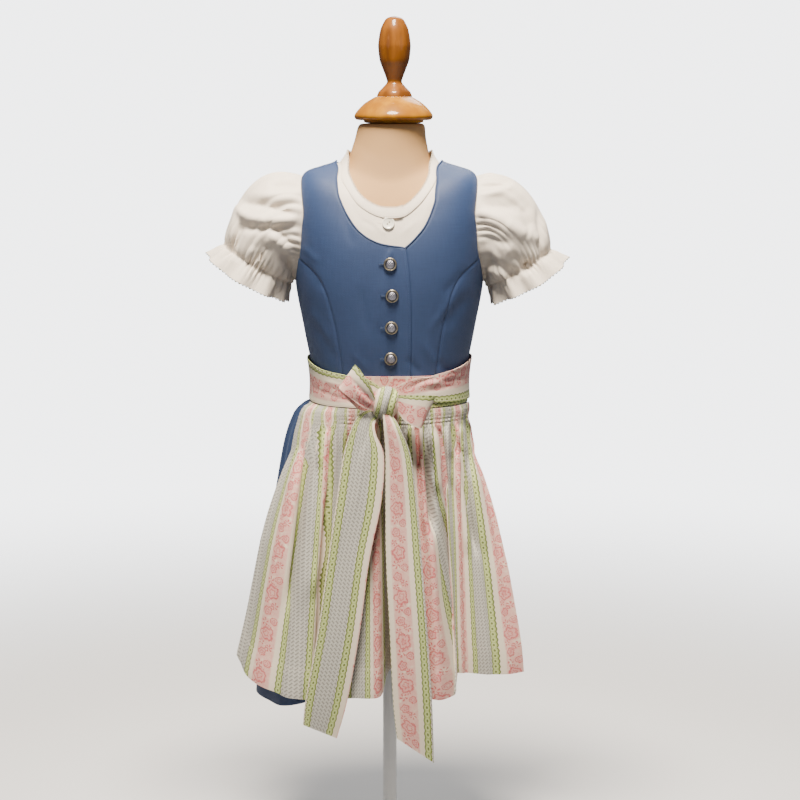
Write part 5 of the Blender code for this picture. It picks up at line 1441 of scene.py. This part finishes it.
def hung_apron():
    """Points of the apron's inner face, and how far down it each of its rows is."""
    repeats = np.linspace(APRON_HEM[0, 0], APRON_HEM[-1, 0], APRON_COLUMNS + 1)
    shirred = (SHIRR_ROWS - 0.5) * SHIRR_PITCH
    drop = np.linspace(0, (shirred + 2) / APRON_LENGTH, SHIRRED_GRID_ROWS + 1)
    later = np.linspace(0, 1, APRON_ROWS - SHIRRED_GRID_ROWS + 1)[1:]
    later = drop[-1] + (1 - drop[-1]) * (0.35 * later + 0.65 * later**1.3)
    drop = np.concatenate([drop, later])[None, ::-1]
    share = (repeats - repeats[0]) / (repeats[-1] - repeats[0])
    angle = APRON_ANGLES[0] + (APRON_ANGLES[1] - APRON_ANGLES[0]) * share
    top, hem = on_torso(angle, APRON_TOP_LEVEL, APRON_OFF), keyed_spline(APRON_HEM, repeats)
    left = np.clip(1 - share / APRON_SIDE_SHARE, 0, 1)[:, None]
    right = np.clip(1 - (1 - share) / APRON_SIDE_SHARE, 0, 1)[:, None]
    flare = blended(drop, APRON_FLARE, (left, 1 - left - right, right))
    grid = top[:, None] + (hem - top)[:, None] * flare[..., None]
    grid[..., 2] = APRON_TOP_Z + (hem[:, 2:] - APRON_TOP_Z) * drop

    turn, down = 2 * math.pi * share[:, None], drop * APRON_LENGTH
    gather = GATHER_DEPTH * (1 + np.cos(APRON_GATHERS * turn + 0.9 * np.sin(2 * turn)))
    gather = gather * np.interp(drop, *zip(*GATHER_FADE))
    band = eased_step((shirred - down) / 4.0 + 0.5)
    puckers = np.cos(SHIRR_PUCKERS * turn + 2.1 * np.sin(9 * turn))
    threads = np.cos(2 * math.pi * down / SHIRR_PITCH)
    puckers = SHIRR_DEPTH * puckers * (0.6 - 0.4 * threads) - SHIRR_ROW_DEPTH * threads
    gather = gather * (1 - 0.6 * band) + band * puckers
    below = eased_step((down - shirred) / 12) * bell(down - shirred, LOWER_GATHER_REACH)
    gather = gather + LOWER_GATHER_DEPTH * below * uneven(turn, LOWER_GATHERS, 0.5)
    soft = uneven(turn, APRON_SOFT_FOLDS, 1.4)
    gather = gather + APRON_SOFT_DEPTH * eased_step(drop / 0.3) * soft
    gather = gather + APRON_HEM_STEP * eased_step((down - APRON_LENGTH + APRON_HEM_DEPTH) / 3.0)
    gather = gather * eased_step(np.minimum(share, 1 - share) / APRON_SIDE_HEM)[:, None]
    outward = torso_normal(angle, np.full(len(angle), APRON_TOP_LEVEL))[:, None] * (1, 1, 0)
    grid = tucked(creased(grid + gather[..., None] * outward, APRON_PLEATS), APRON_TUCKS)

    skirt = skirt_point(np.degrees(np.arctan2(grid[..., 1], grid[..., 0])), grid[..., 2])
    fuller = APRON_OFF_GATHERS * bell(grid[..., 2] - WAIST_GATHERS_Z, WAIST_GATHERS_REACH)
    clear_of = np.linalg.norm(skirt[..., :2], axis=-1) + SKIRT_CLOTH + APRON_OFF_SKIRT + fuller
    grid[..., :2] *= np.maximum(1, clear_of / np.linalg.norm(grid[..., :2], axis=-1))[..., None]
    ahead_of = skirt_face(grid[..., 0], grid[..., 2]) - APRON_CLEARANCE
    grid[..., 1] = softly_least(grid[..., 1], ahead_of, 2.5)
    return grid, paired(repeats[:, None] * STRIPE_REPEAT, down)


grid, cut = hung_apron()
apron = cloth("apron_cloth", grid, APRON_CLOTH, cut, apron_stripe, "apron_panel")
depths = [k * SHIRR_PITCH + 1.0 for k in range(SHIRR_ROWS)] + [APRON_LENGTH - APRON_HEM_DEPTH]
rows = [int(np.argmin(np.abs(cut[0, :, 1] - depth))) for depth in depths]
lines = [sewing_line(grid, np.s_[:, row], APRON_CLOTH + STITCH_OFF) for row in rows]
stitches("apron_shirring", lines[:-1], cream_thread, "apron_stripe", spacing=2.4, length=1.6)
stitches("apron_hem_stitches", lines[-1:], cream_thread, "apron_stripe")

# ---- The apron's waistband and the tie -------------------------------------------------------
# The band that holds the gathers, and two wide ribbons of the same cotton that start behind,
# come round over it to the front and cross under the knot.

WAISTBAND_OFF, WAISTBAND_CLOTH, WAISTBAND_HEIGHTS = 5.9, 1.0, (549.2, 585.0)
WAISTBAND_STRIPES, WAISTBAND_STITCH_ROW = (0.22, 0.62), 15
TIE_CLOTH, TIE_ROUNDING, TIE_ACROSS = 1.1, 0.35, 21
TIE_WRAPS = {
    "r": [
        (-93, 569, 550, 7.8), (-110, 583, 549.5, 7.7), (-126, 586, 549.5, 7.7),
        (-145, 590, 549.5, 7.7), (-172, 598, 551, 7.4), (-220, 598, 553, 6.5),
        (-269.6, 596, 552, 6.1),
    ],
    "l": [
        (-91, 569, 550, 7.8), (-70, 582, 554, 7.7), (-56, 584, 556, 7.7), (-46, 588, 554, 7.7),
        (-8, 599, 552, 7.4), (40, 598, 553, 6.5), (89.6, 596, 552, 6.1),
    ],
}
WRAP_STRIPES = {"r": (0.715, 0.193), "l": (0.83, 0.36)}
TIE_CREASES = [
    (-89, 597, -41, 580, 2.2, -0.7), (-89, 568, -26, 552, 2.2, -0.6),
    (-70, 577, -40, 568, 2.6, 0.6), (65, 591, 18, 570, 2.8, -1), (88, 576, 40, 581, 2.6, -0.9),
    (45, 576, 72, 584, 2.4, 0.9), (39, 568, 72, 572, 2.4, -0.8), (60, 588, 84, 594, 2.8, 0.8),
    (30, 574, 60, 578, 2.2, 0.7),
]


def stripe_across(ends, share):
    """Where the width of a strip of cloth falls on the print, in mm."""
    return (ends[0] + (ends[1] - ends[0]) * share) * STRIPE_REPEAT


angles = np.linspace(*APRON_ANGLES, 151)
share = np.linspace(0, 1, 17)
heights = WAISTBAND_HEIGHTS[0] + (WAISTBAND_HEIGHTS[1] - WAISTBAND_HEIGHTS[0]) * share
grid = on_torso(angles[:, None], level_at(heights)[None, :], WAISTBAND_OFF)
cut = paired(stripe_across(WAISTBAND_STRIPES, share)[None, :], run_along(grid[:, 0])[:, None])
waistband = cloth("apron_band", grid, WAISTBAND_CLOTH, cut, apron_stripe, "apron_waistband")
line = sewing_line(grid, np.s_[:, WAISTBAND_STITCH_ROW], WAISTBAND_CLOTH + STITCH_OFF)
stitches("band_stitches", [line], cream_thread, "apron_stripe")

lines, share = [], np.linspace(0, 1, TIE_ACROSS)
for word, table in TIE_WRAPS.items():
    rows = spline(table, np.linspace(0, len(table) - 1, 151))
    rows = rows[::-1] if word == "r" else rows
    z = rows[:, 2:3] + (rows[:, 1:2] - rows[:, 2:3]) * share
    off = rows[:, 3:4] + TIE_ROUNDING * np.sin(math.pi * share)
    grid = on_torso(rows[:, 0:1], level_at(z), off)
    grid = creased(grid, TIE_CREASES)
    run = run_along(grid[:, TIE_ACROSS // 2])
    cut = paired(stripe_across(WRAP_STRIPES[word], share)[None, :], run[:, None])
    wrap = cloth(f"tie_round_{word}", grid, TIE_CLOTH, cut, apron_stripe, f"tie_wrap_{word}")
    for row in (1, TIE_ACROSS - 2):
        lines.append(sewing_line(grid, np.s_[:, row], TIE_CLOTH + STITCH_OFF))
stitches("tie_stitches", lines, cream_thread, "apron_stripe")

# ---- The bow ---------------------------------------------------------------------------------
# The ribbons' ends, tied in front: a firm knot, a loop to each side, and two long tails that fall
# over the apron.

KNOT_CENTRE, KNOT_RADII, KNOT_TILT = (-3.5, -91.1, 557.0), (16.2, 13.2, 19.2), 14.0
KNOT_GROOVES = [(0.25, 0.14, 0.16), (-0.34, 0.10, 0.10), (0.78, 0.10, 0.10)]
KNOT_STRIPES = [
    (-1, -0.46), (-0.74, -0.36), (-0.58, -0.273), (-0.32, -0.154), (0.08, -0.02), (0.11, 0.15),
    (0.64, 0.275), (1, 0.35)
]
BOW_RIBBONS = {
    "bow_loop_r": [
        (-15.2, -98.5, 564, -16.2, -96, 549), (-21, -104, 580, -30, -102, 555),
        (-28.5, -104, 591, -49, -103, 570), (-36.5, -99, 600, -54, -98, 575),
        (-31, -94, 594, -51, -92, 568), (-24, -93.5, 580, -34, -92, 551),
        (-17.8, -92.5, 566, -19.9, -91, 549),
    ],
    "bow_loop_l": [
        (10.2, -97.5, 567, 9.4, -96, 548), (26, -105, 568, 19, -106, 538.5),
        (42, -106, 568, 33, -107, 532), (51.5, -101, 567, 36, -102, 532),
        (45, -95, 566, 33, -96, 533), (28, -94.5, 566, 22, -95, 536),
        (12.3, -91.5, 565, 12.1, -91, 549),
    ],
    "bow_tail_r": [
        (-17.6, -91, 551, -12.6, -91, 539), (-29, -95, 548, -16, -96, 534),
        (-38.5, -98.5, 537, -14, -99.5, 523), (-49, -102, 505, -5.6, -103.5, 500),
        (-57.5, -108, 452, -8.6, -109, 450), (-67, -115, 387, -21.5, -116, 387),
        (-78, -124, 310, -32, -125, 310), (-91.6, -131, 235, -45.3, -132, 235),
        (-95, -133, 205, -57.6, -134, 190),
    ],
    "bow_tail_l": [
        (-7, -101.2, 546.6, 3.5, -97.2, 543.4), (-6, -105, 532, 13, -103, 529),
        (-4, -106, 500, 24, -105, 500), (-4, -110, 445, 31, -109, 445),
        (-3.4, -117, 387, 36, -116, 387), (0.5, -126, 310, 42, -125, 310),
        (4.3, -132, 232, 47.3, -132, 232), (8.7, -135, 190, 49.6, -135, 162),
    ],
}
RIBBON_STRIPES = {
    "bow_loop_r": (0.20, 0.62), "bow_loop_l": (0.20, 0.66),
    "bow_tail_r": (-0.288, 0.372), "bow_tail_l": (0.266, 0.872),
}
RIBBON_ACROSS = 25
RIBBON_CREASES = {
    "bow_loop_r": [
        (-18, 560, -40, 585, 2.6, -1), (-18, 556, -36, 572, 2.2, 0.8),
        (-20, 553, -44, 565, 2.6, -0.8),
    ],
    "bow_loop_l": [
        (12, 560, 36, 558, 2.6, -1.2), (12, 556, 32, 544, 2.4, 0.9), (12, 552, 26, 537, 2.2, -0.9),
    ],
    "bow_tail_r": [
        (-18, 545, -30, 505, 2.6, -1.3), (-24, 530, -38, 440, 3.5, 1.2),
        (-50, 420, -66, 300, 4.5, -1.2), (-36, 400, -52, 260, 4.5, 1.2),
    ],
    "bow_tail_l": [
        (-2, 540, 4, 480, 2.4, -1.2), (6, 530, 14, 440, 3.2, 1.3), (12, 420, 20, 300, 4.5, -1.2),
        (26, 380, 34, 240, 4.5, 1.1),
    ],
}
lines, share = [], np.linspace(0, 1, RIBBON_ACROSS)
for name, table in BOW_RIBBONS.items():
    looped = "loop" in name
    rows = spline(table, np.linspace(0, len(table) - 1, 97 if looped else 129))
    grid = rows[:, None, :3] + (rows[:, None, 3:] - rows[:, None, :3]) * share[:, None]
    grid = creased(grid.transpose(1, 0, 2)[:, ::-1], RIBBON_CREASES[name])
    run = run_along(grid[RIBBON_ACROSS // 2])
    cut = paired(stripe_across(RIBBON_STRIPES[name], share)[:, None], run[None, :])
    ribbon = cloth(name.replace("bow", "ribbon"), grid, TIE_CLOTH, cut, apron_stripe, name)
    lines += [sewing_line(grid, row, TIE_CLOTH + STITCH_OFF) for row in (1, RIBBON_ACROSS - 2)]
stitches("ribbon_stitches", lines, cream_thread, "apron_stripe")

KNOT_ROUND, KNOT_UP, KNOT_GROOVE_BEND, KNOT_CUT_PER_DEGREE, KNOT_CUT_FROM = 72, 49, 0.18, 0.35, 30
turn = np.linspace(-math.pi, math.pi, KNOT_ROUND + 1)[:, None]
climb = np.linspace(-math.pi / 2, math.pi / 2, KNOT_UP)[None, 1:-1]
ball = [np.cos(climb) * np.sin(turn), -np.cos(climb) * np.cos(turn), np.sin(climb)]
ball = np.stack(np.broadcast_arrays(*ball), -1)
bent, dent = ball[..., 0] - KNOT_GROOVE_BEND * ball[..., 2] ** 2, 0
for spot, width, depth in KNOT_GROOVES:
    dent = dent + depth * bell(bent - spot, width) * (ball[..., 1] < 0.2)
points = (ball * KNOT_RADII * (1 - dent)[..., None])[:-1].reshape(-1, 3)
points = np.concatenate([points, [(0, 0, -KNOT_RADII[2]), (0, 0, KNOT_RADII[2])]])
lean, rise = math.cos(math.radians(KNOT_TILT)), math.sin(math.radians(KNOT_TILT))
points = points @ [(lean, 0, -rise), (0, 1, 0), (rise, 0, lean)] + KNOT_CENTRE
numbers = numbered(KNOT_ROUND, KNOT_UP - 2, closed=True)
faces = quads(numbers).tolist() + fans(numbers, len(points) - 2, len(points) - 1)
stripe = np.interp(ball[..., 0], *zip(*KNOT_STRIPES)) * STRIPE_REPEAT
cut = paired(stripe, np.degrees(climb) * KNOT_CUT_PER_DEGREE + KNOT_CUT_FROM)
spots = numbered(*cut.shape[:2])
ends = [(a, b, a) for a, b in zip(spots[:-1, -1], spots[1:, -1])]
ends += [(b, a, a) for a, b in zip(spots[:-1, 0], spots[1:, 0])]
corners = at_corners(cut, np.concatenate([np.ravel(quads(spots)), np.ravel(ends)])) * MM
knot = add_piece("ribbon_knot", points, faces, apron_stripe, corners)
stands_for(knot, "apron_stripe", "bow_knot")

boxes = {"cad": cad_box, "visual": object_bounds()}
boxes = {word: [list(map(float, row)) for row in box] for word, box in boxes.items()}
